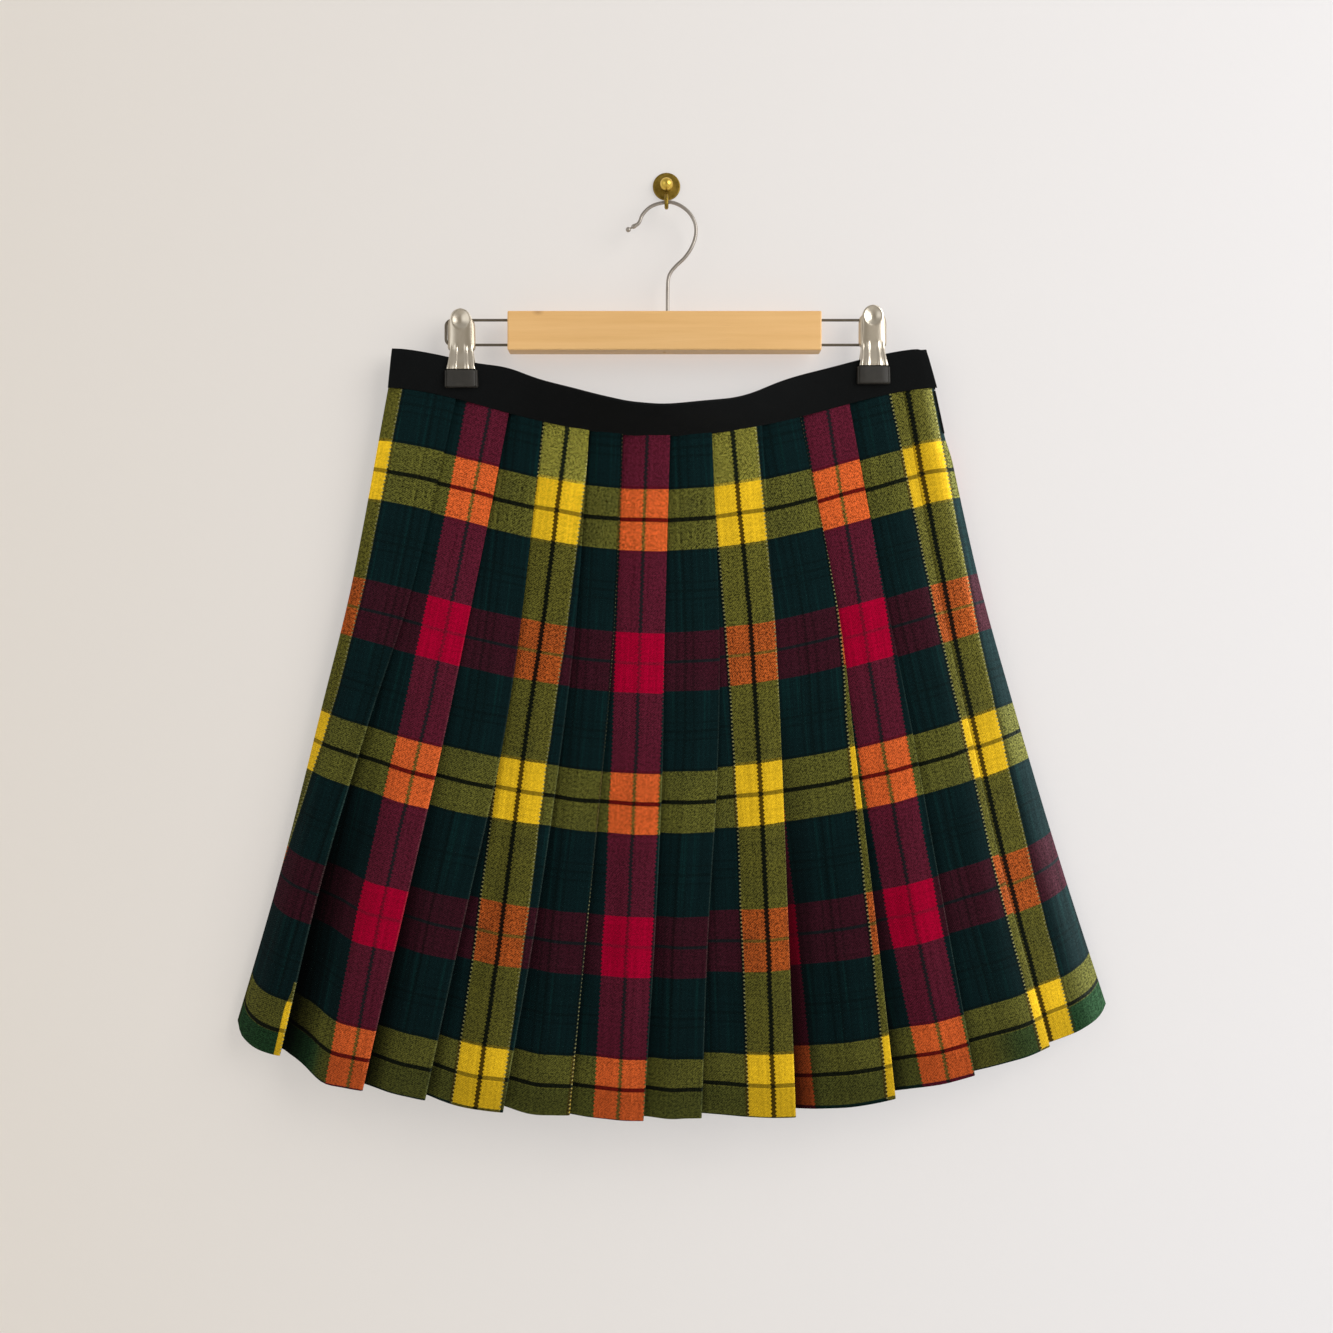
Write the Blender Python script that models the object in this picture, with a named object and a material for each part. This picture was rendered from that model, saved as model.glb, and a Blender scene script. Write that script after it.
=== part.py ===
"""Pleated plaid skirt, hung by two clips from a wooden hanger on a small brass wall hook.

Metres, +Z up. The wall is the plane y = 0 and the part lies in front of it, at negative y.
The origin is the middle of the flat back of the wall hook's round plate. Depths below are
distances in front of the wall, and a share of the cloth runs from 0 at the waist seam to 1
at the hem.
"""
import math
from collections import namedtuple

import bmesh
import bpy
from mathutils import Vector

# Clearances
SEAM_GAP = 0.0003
LAYER_GAP = 0.00035

# Skirt cloth
CLOTH_THICK = 0.0010
FOLD_PITCH = CLOTH_THICK + LAYER_GAP
PLEAT_DEPTH_WAIST = 0.015
PLEAT_DEPTH_HEM = 0.020
RELEASE = 0.28
MID_PLANE_WAIST = 0.015
MID_PLANE_HEM = 0.009

# A row for each fold: its distance from the middle at five levels, and its lift at the hem
LEVELS = (0.0, 0.3, 0.5, 0.75, 1.0)
Fold = namedtuple("Fold", "name waist hip thigh knee hem lift")
LEFT_SIDE = Fold("left_side", -0.1850, -0.2090, -0.2300, -0.2570, -0.2870, 0.0)
RIGHT_SIDE = Fold("right_side", 0.1795, 0.2070, 0.2300, 0.2610, 0.2940, 0.0)
FRONT_FOLDS = (
    Fold("first", -0.1395, -0.1690, -0.1960, -0.2270, -0.2525, 0.0095),
    Fold("second", -0.1065, -0.1300, -0.1460, -0.1700, -0.1950, 0.0060),
    Fold("third", -0.0840, -0.0955, -0.1080, -0.1310, -0.1540, 0.0070),
    Fold("fourth", -0.0505, -0.0595, -0.0695, -0.0850, -0.1040, 0.0060),
    Fold("fifth", -0.0285, -0.0340, -0.0410, -0.0515, -0.0615, 0.0055),
    Fold("sixth", 0.0025, -0.0010, -0.0025, -0.0075, -0.0145, 0.0050),
    Fold("seventh", 0.0285, 0.0325, 0.0310, 0.0265, 0.0225, 0.0060),
    Fold("eighth", 0.0630, 0.0715, 0.0750, 0.0785, 0.0825, 0.0095),
    Fold("ninth", 0.0875, 0.1115, 0.1220, 0.1325, 0.1445, 0.0080),
    Fold("tenth", 0.1215, 0.1450, 0.1610, 0.1790, 0.1980, 0.0070),
    Fold("eleventh", 0.1570, 0.1790, 0.1980, 0.2240, 0.2505, 0.0020),
)
BACK_FOLD_COUNT = 11
BACK_LIFT = 0.0018
FRONT_ROWS = (0.0, 0.06, 0.16, 0.28, 0.38, 0.48, 0.58, 0.68, 0.79, 0.9, 1.0)
BACK_ROWS = (0.0, 0.12, 0.28, 0.5, 0.75, 1.0)

# Height of the waist seam and of the hem
SEAM_END_Z = -0.1355
SEAM_SAG = 0.0345
SEAM_SHAPE = 1.6
BACK_EXTRA_SAG = 0.0035
HEM_MIDDLE_Z = -0.6090
HEM_RISE_LEFT, HEM_SHAPE_LEFT = 0.0465, 2.9
HEM_RISE_RIGHT, HEM_SHAPE_RIGHT = 0.0600, 2.4

# How far the panels stand off the middle plane between them
SAG_HALF = 0.124
STACK_ROOM = 0.00335
FRONT_BOW = 0.018
BACK_BOW = 0.007
FRONT_SWELL = 0.048
SWELL_POWER, SWELL_SHAPE = 4.0, 0.75
BACK_SWELL = 0.0048
SIDE_ROUNDING = 0.016

# Waistband
BAND_HEIGHT = 0.0255
BAND_THICK = 0.0030
BAND_LEAN = math.radians(56.0)
BAND_STATIONS = 28
BAND_END_LEFT, BAND_END_RIGHT = -0.0015, 0.0050
BAND_EDGE = 0.0007

# Strip that binds the top of the side opening
TAPE_FROM, TAPE_TO = 0.012, 0.095
TAPE_WIDTH, TAPE_DEPTH = 0.0016, 0.0060

# Hanger
BAR_LENGTH, BAR_DEPTH, BAR_HEIGHT = 0.208, 0.014, 0.026
BAR_MIDDLE = (-0.0013, 0.015, -0.0988)
BAR_EDGE = 0.0009
ROD_RADIUS = 0.0009
ROD_UPPER_Z, ROD_LOWER_Z = -0.0905, -0.1070
ROD_IN_BAR = 0.012
ROD_END_LEFT, ROD_END_RIGHT = -0.1470, 0.1455
ROD_CORNER = 0.004
HOLE_CLEARANCE = 0.0003
HANG_HOLE_RADIUS, HANG_HOLE_DEPTH = 0.0010, 0.006
WIRE_RADIUS = 0.0012
WIRE_IN_BAR = 0.008
WIRE_TIP_RADIUS = 0.0017
HOOK_ROUTE = (
    (-0.0240, -0.0293), (-0.0187, -0.0260), (-0.0158, -0.0200), (-0.0107, -0.0150),
    (-0.0040, -0.0125), (0.0033, -0.0120), (0.0103, -0.0148), (0.0160, -0.0200),
    (0.0192, -0.0267), (0.0194, -0.0340), (0.0168, -0.0418), (0.0122, -0.0487),
    (0.0060, -0.0547), (0.0024, -0.0594), (0.0010, -0.0645), (0.0007, -0.0740),
)

# Clips
CLIP_PLACES = (("left", -0.1370, -0.0012), ("right", 0.1372, 0.0012))
CLIP_TOP_Z, CLIP_JAW_END_Z, CLIP_PAD_END_Z = -0.0822, -0.1231, -0.1353
JAW_THICK = 0.0009
JAW_UPPER_INSIDE = 0.0022
JAW_LOWER_INSIDE = 0.0059
JAW_BEND_Z = -0.1080
JAW_TOP_WIDTH, JAW_BODY_WIDTH, JAW_END_WIDTH = 0.0145, 0.0167, 0.0190
JAW_FLANGE = 0.0028
BAND_CLEAR = SEAM_GAP / 2 + BAND_THICK + SEAM_GAP
PAD_WIDTH, PAD_DEPTH = 0.0220, 0.0046
SPRING_THICK, SPRING_WIDTH = 0.0007, 0.0070
SPRING_LEG_Z = -0.1035

# Wall hook
PLATE_RADIUS, PLATE_THICK = 0.0093, 0.0020
BALL_RADIUS, BALL_DEPTH = 0.00435, 0.0060
NECK_RADIUS = 0.0021
KNOB_Z = 0.0033
PRONG_RADIUS = 0.00135
PRONG_START = (0.0023, -0.0035)
PRONG_TIP_Z = -0.0078
HANGER_DEPTH = MID_PLANE_WAIST


def clear_scene():
    for old in list(bpy.data.objects):
        bpy.data.objects.remove(old, do_unlink=True)


def material(name, colour, roughness, metallic=0.0):
    made = bpy.data.materials.new(name)
    made.use_nodes = True
    shader = made.node_tree.nodes["Principled BSDF"]
    shader.inputs["Base Color"].default_value = (*colour, 1.0)
    shader.inputs["Roughness"].default_value = roughness
    shader.inputs["Metallic"].default_value = metallic
    made.diffuse_color = (*colour, 1.0)
    return made


def add_object(name, builder, finish):
    """Puts a bmesh into the scene as a named object, with its faces pointing out."""
    bmesh.ops.recalc_face_normals(builder, faces=builder.faces)
    mesh = bpy.data.meshes.new(name)
    builder.to_mesh(mesh)
    builder.free()
    mesh.materials.append(finish)
    mesh.shade_smooth()
    mesh.set_sharp_from_angle(angle=math.radians(40))
    made = bpy.data.objects.new(name, mesh)
    bpy.context.collection.objects.link(made)
    return made


def place(x, depth, z):
    """A point from its place across, its distance in front of the wall and its height."""
    return Vector((x, -depth, z))


def ease(share):
    share = min(1.0, max(0.0, share))
    return share * share * (3.0 - 2.0 * share)


def mix(first, second, share):
    return first + (second - first) * share


def smooth_curve(points, steps):
    """A smooth curve through the points, with the given number of steps between them."""
    points = [Vector(point) for point in points]
    padded = [points[0] * 2 - points[1]] + points + [points[-1] * 2 - points[-2]]
    curve = []
    for before, start, end, after in zip(padded, padded[1:], padded[2:], padded[3:]):
        for step in range(steps):
            t = step / steps
            curve.append(0.5 * (2 * start + (end - before) * t
                                + (2 * before - 5 * start + 4 * end - after) * t ** 2
                                + (3 * start - before - 3 * end + after) * t ** 3))
    curve.append(points[-1])
    return curve


def read_levels(fold, share):
    """A fold's distance from the middle at a share of the cloth, read smoothly."""
    values = fold[1:6]
    last = len(LEVELS) - 1
    slopes = []
    for index in range(last + 1):
        low, high = max(0, index - 1), min(last, index + 1)
        slopes.append((values[high] - values[low]) / (LEVELS[high] - LEVELS[low]))
    index = max(i for i in range(last) if LEVELS[i] <= max(share, 0.0))
    width = LEVELS[index + 1] - LEVELS[index]
    t = (share - LEVELS[index]) / width
    start, end = values[index], values[index + 1]
    bend = (start - end) * (2 * t ** 3 - 3 * t ** 2) + start
    return (bend + slopes[index] * width * (t ** 3 - 2 * t ** 2 + t)
            + slopes[index + 1] * width * (t ** 3 - t ** 2))


def sides(share):
    return read_levels(LEFT_SIDE, share), read_levels(RIGHT_SIDE, share)


def across(x, share):
    """Place across the panel, from -1 at the left side to 1 at the right."""
    left, right = sides(share)
    return (2 * x - left - right) / (right - left)


def sag(x):
    """1 midway between the clips and 0 at the clips and beyond."""
    if abs(x) >= SAG_HALF:
        return 0.0
    return math.cos(math.pi * x / (2 * SAG_HALF)) ** 2


def seam_height(u):
    return SEAM_END_Z - SEAM_SAG * max(0.0, math.cos(math.pi / 2 * u)) ** SEAM_SHAPE


def hem_height(u):
    if u < 0:
        return HEM_MIDDLE_Z + HEM_RISE_LEFT * abs(u) ** HEM_SHAPE_LEFT
    return HEM_MIDDLE_Z + HEM_RISE_RIGHT * u ** HEM_SHAPE_RIGHT


def cloth_height(x, share, front):
    u = across(x, share)
    u = max(-1.0, min(1.0, u))
    extra = 0.0 if front else BACK_EXTRA_SAG * max(0.0, 1 - u * u) * (1 - share)
    return mix(seam_height(u) - extra, hem_height(u), share)


def side_rounding(x, share):
    """0 on the panel's side edges, rising to 1 a little way in."""
    left, right = sides(share)
    inward = min(x - left, right - x) / SIDE_ROUNDING
    inward = max(0.0, min(1.0, inward))
    return 1 - (1 - inward) ** 2


def swell(u):
    return max(0.0, 1 - abs(u) ** SWELL_POWER) ** SWELL_SHAPE


def front_depth(x, share):
    """Depth of the front panel's outermost layer, at the middle of its wall."""
    u = max(-1.0, min(1.0, across(x, share)))
    edge = SEAM_GAP / 2 + CLOTH_THICK / 2
    waist = MID_PLANE_WAIST + edge
    waist += (STACK_ROOM - edge) * side_rounding(x, share) + FRONT_BOW * sag(x)
    hem = MID_PLANE_HEM + edge + FRONT_SWELL * swell(u)
    return mix(waist, hem, ease(share))


def back_depth(x, share):
    """Depth of the back panel's outermost layer, the one that faces the wall."""
    edge = SEAM_GAP / 2 + CLOTH_THICK / 2
    rounding = side_rounding(x, share)
    waist = MID_PLANE_WAIST - edge - (STACK_ROOM - edge) * rounding - BACK_BOW * sag(x)
    hem = MID_PLANE_HEM - edge - BACK_SWELL * rounding
    return mix(waist, hem, ease(share))


def opening(share):
    """0 where the pleats are stitched flat and 1 at the hem."""
    return ease((share - RELEASE) / (1 - RELEASE))


def pleat_path(edges, lifts, share):
    """Knife pleats in plan: points (place across, height off the outermost layer).

    Each face runs to its fold on the right, turns back under itself by the pleat's depth,
    turns again and comes out from under the fold as the next face.
    """
    depth = mix(PLEAT_DEPTH_WAIST, PLEAT_DEPTH_HEM, share)
    open_share = opening(share)
    bend = FOLD_PITCH / 2
    inset = bend + CLOTH_THICK / 2

    def face_height(face, x):
        """Height of a face, which climbs from below the last fold to the next one."""
        drop = steps[face]
        flat_run = max(edges[face + 1] - depth - edges[face], 1e-6)
        flat = min(1.0, max(0.0, (x - edges[face]) / flat_run))
        straight = (x - edges[face]) / (edges[face + 1] - edges[face])
        return -drop * (1 - mix(flat, min(1.0, straight), open_share))

    count = len(edges) - 2
    steps = [0.0] + [2 * FOLD_PITCH + lift * open_share for lift in lifts]
    path = [(edges[0], 0.0)]
    for face in range(count + 1):
        start, end = edges[face], edges[face + 1]
        ramp_end = end - depth
        if face == 0:
            path.append((mix(start, ramp_end, 0.5), face_height(face, mix(start, ramp_end, 0.5))))
        else:
            path.append((start, face_height(face, start)))
            path.append((mix(start, ramp_end, 0.5), face_height(face, mix(start, ramp_end, 0.5))))
        path.append((ramp_end, face_height(face, ramp_end)))
        if face == count:
            path.append((end, face_height(face, end)))
            break
        lift = lifts[face] * open_share
        turn_x = end - inset
        top = face_height(face, turn_x)
        for angle in (90, 30, -30, -90):
            turn = math.radians(angle)
            path.append((turn_x + bend * math.cos(turn), top - bend + bend * math.sin(turn)))
        turn_x = end - depth + inset
        top = face_height(face, turn_x) - FOLD_PITCH - lift * (turn_x - end) / -depth
        for angle in (90, 150, 210, 270):
            turn = math.radians(angle)
            path.append((turn_x + bend * math.cos(turn), top - bend + bend * math.sin(turn)))
    return path


def thicken(points, half):
    """Points moved out and in from a line in plan, each across its own direction."""
    outer, inner = [], []
    for index, point in enumerate(points):
        before = points[max(0, index - 1)]
        after = points[min(len(points) - 1, index + 1)]
        into = (point - before).normalized() if index else (after - point).normalized()
        out_of = (after - point).normalized() if index < len(points) - 1 else into
        normal = Vector((-(into.y + out_of.y), into.x + out_of.x)).normalized()
        reach = half / max(0.5, normal.dot(Vector((-into.y, into.x))))
        outer.append(point + normal * reach)
        inner.append(point - normal * reach)
    return outer, inner


def pleated_panel(name, finish, rows, front):
    """A pleated panel as one folded wall, built from level rows of the cloth."""
    builder = bmesh.new()
    rings = []
    for share in rows:
        left, right = sides(share)
        if front:
            edges = [left] + [read_levels(fold, share) for fold in FRONT_FOLDS] + [right]
            lifts = [fold.lift for fold in FRONT_FOLDS]
        else:
            count = BACK_FOLD_COUNT
            edges = [mix(-right, -left, index / (count + 1)) for index in range(count + 2)]
            lifts = [BACK_LIFT] * count
        line = []
        for x, height in pleat_path(edges, lifts, share):
            if front:
                line.append(Vector((x, front_depth(x, share) + height)))
            else:
                line.append(Vector((x, -back_depth(-x, share) + height)))
        ring = []
        for side in thicken(line, CLOTH_THICK / 2):
            points = []
            for point in side:
                x, depth = (point.x, point.y) if front else (-point.x, -point.y)
                points.append(place(x, depth, cloth_height(x, share, front)))
            ring.append([builder.verts.new(point) for point in points])
        rings.append(ring)
    for upper, lower in zip(rings, rings[1:]):
        for side in (0, 1):
            for i in range(len(upper[side]) - 1):
                builder.faces.new((upper[side][i], upper[side][i + 1],
                                   lower[side][i + 1], lower[side][i]))
        for i in (0, -1):
            builder.faces.new((upper[0][i], upper[1][i], lower[1][i], lower[0][i]))
    for ring in (rings[0], rings[-1]):
        for i in range(len(ring[0]) - 1):
            builder.faces.new((ring[0][i], ring[0][i + 1], ring[1][i + 1], ring[1][i]))
    return add_object(name, builder, finish)


def loft(builder, rings):
    """Joins equal closed rings with faces and closes both ends."""
    made = [[builder.verts.new(point) for point in ring] for ring in rings]
    count = len(made[0])
    for first, second in zip(made, made[1:]):
        for i in range(count):
            j = (i + 1) % count
            builder.faces.new((first[i], first[j], second[j], second[i]))
    builder.faces.new(made[0])
    builder.faces.new(made[-1])


def waistband(name, finish, front):
    """A flat band along the seam: between the clips the front one sags and leans out."""
    left, right = sides(0.0)
    side = 1 if front else -1
    bow = FRONT_BOW if front else BACK_BOW
    rings = []
    for station in range(BAND_STATIONS + 1):
        share = station / BAND_STATIONS
        x_low = mix(left, right, share)
        x_high = mix(left - BAND_END_LEFT, right - BAND_END_RIGHT, share)
        lean = BAND_LEAN * sag(x_low) if front else 0.0
        depth = MID_PLANE_WAIST + side * (SEAM_GAP / 2 + BAND_THICK / 2 + bow * sag(x_low))
        base = cloth_height(x_low, 0.0, front) + SEAM_GAP + BAND_THICK / 2 * math.sin(lean)
        half = BAND_THICK / 2
        section = ((-half, 0.0), (half, 0.0), (half, BAND_HEIGHT - BAND_EDGE),
                   (half - BAND_EDGE, BAND_HEIGHT), (-half + BAND_EDGE, BAND_HEIGHT),
                   (-half, BAND_HEIGHT - BAND_EDGE))
        ring = []
        for out, up in section:
            x = mix(x_low, x_high, up / BAND_HEIGHT)
            ring.append(place(x, depth + out * math.cos(lean) + up * math.sin(lean),
                              base - out * math.sin(lean) + up * math.cos(lean)))
        rings.append(ring)
    builder = bmesh.new()
    loft(builder, rings)
    return add_object(name, builder, finish)


def side_tape(name, finish):
    """Narrow strip over the cloth's right side edge, just under the waistband."""
    rows = 5
    rings = []
    for row in range(rows + 1):
        share = mix(TAPE_FROM, TAPE_TO, row / rows)
        right = sides(share)[1]
        middle = mix(MID_PLANE_WAIST, MID_PLANE_HEM, ease(share))
        inner = right + SEAM_GAP + CLOTH_THICK / 4
        z = cloth_height(right, share, True)
        rings.append([place(inner, middle - TAPE_DEPTH / 2, z),
                      place(inner, middle + TAPE_DEPTH / 2, z),
                      place(inner + TAPE_WIDTH, middle + TAPE_DEPTH / 4, z),
                      place(inner + TAPE_WIDTH, middle - TAPE_DEPTH / 4, z)])
    builder = bmesh.new()
    loft(builder, rings)
    return add_object(name, builder, finish)


def tube(name, finish, points, radii, count, up=Vector((0, 1, 0))):
    """A round bar along a line, with a radius for each of its points."""
    rings = []
    for index, point in enumerate(points):
        before = points[max(0, index - 1)]
        after = points[min(len(points) - 1, index + 1)]
        along = (after - before).normalized()
        side = along.cross(up).normalized()
        other = side.cross(along)
        ring = []
        for step in range(count):
            turn = 2 * math.pi * step / count
            ring.append(point + radii[index] * (side * math.cos(turn) + other * math.sin(turn)))
        rings.append(ring)
    builder = bmesh.new()
    loft(builder, rings)
    return add_object(name, builder, finish)


def turned(name, finish, profile, centre, count):
    """A piece turned about a line that points straight out of the wall."""
    builder = bmesh.new()
    rings = []
    for radius, depth in profile:
        ring = []
        for step in range(count):
            turn = 2 * math.pi * step / count
            ring.append(place(centre[0] + radius * math.cos(turn), depth,
                              centre[1] + radius * math.sin(turn)))
        rings.append(ring)
    loft(builder, rings)
    return add_object(name, builder, finish)


def cutter(name, builder, target):
    """Cuts a shape out of a target and keeps the shape as a hidden guide."""
    bmesh.ops.recalc_face_normals(builder, faces=builder.faces)
    mesh = bpy.data.meshes.new(name)
    builder.to_mesh(mesh)
    builder.free()
    shape = bpy.data.objects.new(name, mesh)
    shape.hide_render = True
    shape.display_type = "WIRE"
    bpy.context.collection.objects.link(shape)
    cut = target.modifiers.new(name, "BOOLEAN")
    cut.operation = "DIFFERENCE"
    cut.solver = "EXACT"
    cut.object = shape


def drill(name, target, start, end, radius):
    """A round hole from one point to another."""
    count = 12
    along = (end - start).normalized()
    side = along.orthogonal().normalized()
    other = along.cross(side)
    rings = []
    for middle in (start, end):
        rings.append([middle + radius * (side * math.cos(2 * math.pi * i / count)
                                         + other * math.sin(2 * math.pi * i / count))
                      for i in range(count)])
    builder = bmesh.new()
    loft(builder, rings)
    cutter(name, builder, target)


def hanger_bar(finish):
    """Wooden bar with eased edges, drilled for the hook, the two rods and a hanging hole."""
    middle_x, middle_depth, middle_z = BAR_MIDDLE
    builder = bmesh.new()
    bmesh.ops.create_cube(builder, size=1.0)
    bmesh.ops.scale(builder, vec=(BAR_LENGTH, BAR_DEPTH, BAR_HEIGHT), verts=builder.verts)
    bmesh.ops.translate(builder, vec=place(middle_x, middle_depth, middle_z),
                        verts=builder.verts)
    bmesh.ops.bevel(builder, geom=builder.edges, offset=BAR_EDGE, segments=2, profile=0.5,
                    affect="EDGES")
    bar = add_object("hanger_bar", builder, finish)
    beyond = 0.004
    top = middle_z + BAR_HEIGHT / 2
    hook_x = HOOK_ROUTE[-1][0]
    drill("hook_hole", bar, place(hook_x, middle_depth, top + beyond),
          place(hook_x, middle_depth, top - WIRE_IN_BAR - HOLE_CLEARANCE),
          WIRE_RADIUS + HOLE_CLEARANCE)
    bottom = middle_z - BAR_HEIGHT / 2
    drill("hanging_hole", bar, place(middle_x, middle_depth, bottom - beyond),
          place(middle_x, middle_depth, bottom + HANG_HOLE_DEPTH), HANG_HOLE_RADIUS)
    for side in (-1, 1):
        end = middle_x + side * BAR_LENGTH / 2
        for height, z in (("upper", ROD_UPPER_Z), ("lower", ROD_LOWER_Z)):
            drill("rod_hole_%s_%d" % (height, side), bar,
                  place(end + side * beyond, middle_depth, z),
                  place(end - side * (ROD_IN_BAR + HOLE_CLEARANCE), middle_depth, z),
                  ROD_RADIUS + HOLE_CLEARANCE)
    return bar


def bar_rod(name, finish, side, reach):
    """One rod bent like a hairpin, with both legs in the end of the bar."""
    inside = BAR_MIDDLE[0] + side * (BAR_LENGTH / 2 - ROD_IN_BAR)
    turn_x = reach - side * ROD_CORNER
    points = [place(inside, HANGER_DEPTH, ROD_UPPER_Z)]
    for corner_z, angles in ((ROD_UPPER_Z - ROD_CORNER, (90, 60, 30, 0)),
                             (ROD_LOWER_Z + ROD_CORNER, (0, -30, -60, -90))):
        for angle in angles:
            turn = math.radians(angle)
            points.append(place(turn_x + side * ROD_CORNER * math.cos(turn), HANGER_DEPTH,
                                corner_z + ROD_CORNER * math.sin(turn)))
    points.append(place(inside, HANGER_DEPTH, ROD_LOWER_Z))
    return tube(name, finish, points, [ROD_RADIUS] * len(points), 8)


def hanger_hook(finish):
    """Bent wire hook with a rounded tip, its stem set in the top of the bar."""
    stem_x = HOOK_ROUTE[-1][0]
    end_z = BAR_MIDDLE[2] + BAR_HEIGHT / 2 - WIRE_IN_BAR
    route = smooth_curve([place(x, HANGER_DEPTH, z) for x, z in HOOK_ROUTE], 3)
    route.append(place(stem_x, HANGER_DEPTH, end_z))
    along = (route[1] - route[0]).normalized()
    tip = [route[0] + along * WIRE_TIP_RADIUS * (math.sin(turn) - 1.0)
           for turn in (-1.2, -0.7, 0.0, 0.6)]
    tip_radii = [WIRE_TIP_RADIUS * math.cos(turn) for turn in (-1.2, -0.7, 0.0, 0.6)]
    points = tip + route
    return tube("hanger_hook", finish, points, tip_radii + [WIRE_RADIUS] * len(route), 8)


def clip_jaw(name, finish, middle_x, lift, side):
    """One steel jaw: a tongue with a round top that widens down to its rubber end."""
    top = CLIP_TOP_Z + lift
    end = CLIP_JAW_END_Z + lift
    bend_z = JAW_BEND_Z + lift
    rows = []
    round_radius = JAW_TOP_WIDTH / 2
    for angle in (14, 40, 65, 90):
        turn = math.radians(angle)
        rows.append((top - round_radius * (1 - math.cos(turn)), round_radius * math.sin(turn)))
    rows.append((mix(top - round_radius, bend_z, 0.5), JAW_BODY_WIDTH / 2))
    rows.append((bend_z, JAW_BODY_WIDTH / 2))
    rows.append((mix(bend_z, end, 0.5), mix(JAW_BODY_WIDTH, JAW_END_WIDTH, 0.4) / 2))
    rows.append((end, JAW_END_WIDTH / 2))
    rings = []
    for z, half in rows:
        below = ease((bend_z - z) / (bend_z - end))
        inside = mix(JAW_UPPER_INSIDE, JAW_LOWER_INSIDE, below)
        flange = min(JAW_FLANGE * below, max(0.0, inside - BAND_CLEAR))
        crown = 0.0006
        outer = [(-half, inside - flange), (-half, inside + JAW_THICK * 0.6),
                 (-half * 0.6, inside + JAW_THICK + crown), (half * 0.6, inside + JAW_THICK + crown),
                 (half, inside + JAW_THICK * 0.6), (half, inside - flange)]
        wall = min(JAW_THICK, half * 0.5)
        inner = [(half - wall, inside - flange), (half - wall, inside),
                 (half * 0.5, inside + crown * 0.5), (-half * 0.5, inside + crown * 0.5),
                 (-half + wall, inside), (-half + wall, inside - flange)]
        if flange < 0.0002:
            outer[0], outer[-1] = (-half, inside), (half, inside)
            inner = [(half * 0.8, inside), (half * 0.6, inside), (half * 0.3, inside),
                     (-half * 0.3, inside), (-half * 0.6, inside), (-half * 0.8, inside)]
        rings.append([place(middle_x + x, HANGER_DEPTH + side * out, z)
                      for x, out in outer + inner])
    builder = bmesh.new()
    loft(builder, rings)
    return add_object(name, builder, finish)


def clip_pad(name, finish, middle_x, lift, side):
    """Rubber end of a jaw, which presses on the waistband."""
    inside = BAND_CLEAR
    top = CLIP_JAW_END_Z + lift - SEAM_GAP
    bottom = CLIP_PAD_END_Z + lift
    builder = bmesh.new()
    bmesh.ops.create_cube(builder, size=1.0)
    bmesh.ops.scale(builder, vec=(PAD_WIDTH, PAD_DEPTH, top - bottom), verts=builder.verts)
    bmesh.ops.bevel(builder, geom=builder.edges, offset=0.0007, segments=1, affect="EDGES")
    middle = place(middle_x, HANGER_DEPTH + side * (inside + PAD_DEPTH / 2), (top + bottom) / 2)
    bmesh.ops.translate(builder, vec=middle, verts=builder.verts)
    return add_object(name, builder, finish)


def clip_spring(name, finish, middle_x, lift):
    """Leaf spring that bends over the upper rod and presses the two jaws together."""
    inner = ROD_RADIUS + HOLE_CLEARANCE
    line = [Vector((-inner, SPRING_LEG_Z + lift))]
    for angle in (180, 150, 120, 90, 60, 30, 0):
        turn = math.radians(angle)
        line.append(Vector((inner * math.cos(turn), ROD_UPPER_Z + inner * math.sin(turn))))
    line.append(Vector((inner, SPRING_LEG_Z + lift)))
    outer, _ = thicken(line, SPRING_THICK)
    builder = bmesh.new()
    rings = []
    for side in (-1, 1):
        x = middle_x + side * SPRING_WIDTH / 2
        rings.append([place(x, HANGER_DEPTH + point.x, point.y)
                      for point in outer + list(reversed(line))])
    loft(builder, rings)
    return add_object(name, builder, finish)


def knob_plate(finish):
    """Round wall plate with a ball close in front of it, turned in one piece."""
    profile = [(PLATE_RADIUS, 0.0), (PLATE_RADIUS, PLATE_THICK * 0.6),
               (PLATE_RADIUS * 0.93, PLATE_THICK), (NECK_RADIUS * 1.5, PLATE_THICK)]
    start = math.asin(NECK_RADIUS / BALL_RADIUS)
    steps = 7
    for step in range(steps):
        turn = mix(start, math.pi - 0.35, step / (steps - 1))
        profile.append((BALL_RADIUS * math.sin(turn), BALL_DEPTH - BALL_RADIUS * math.cos(turn)))
    return turned("knob_plate", finish, profile, (0.0, KNOB_Z), 24)


def knob_prong(finish):
    """Short hook under the ball that carries the hanger's wire."""
    reach = WIRE_RADIUS + HOLE_CLEARANCE + PRONG_RADIUS
    wire_z = max(z for _, z in HOOK_ROUTE)
    wire = Vector((HANGER_DEPTH, wire_z - 0.0004))
    line = [PRONG_START, (0.0065, -0.0043), (0.0100, -0.0076)]
    for angle in (200, 235, 270, 305, 340):
        turn = math.radians(angle)
        line.append((wire.x + reach * math.cos(turn), wire.y + reach * math.sin(turn)))
    line.append((wire.x + reach, PRONG_TIP_Z))
    points = smooth_curve([place(0.0, depth, z) for depth, z in line], 2)
    radii = [PRONG_RADIUS] * (len(points) - 1) + [PRONG_RADIUS * 0.6]
    return tube("knob_prong", finish, points, radii, 8, up=Vector((1, 0, 0)))


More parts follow.
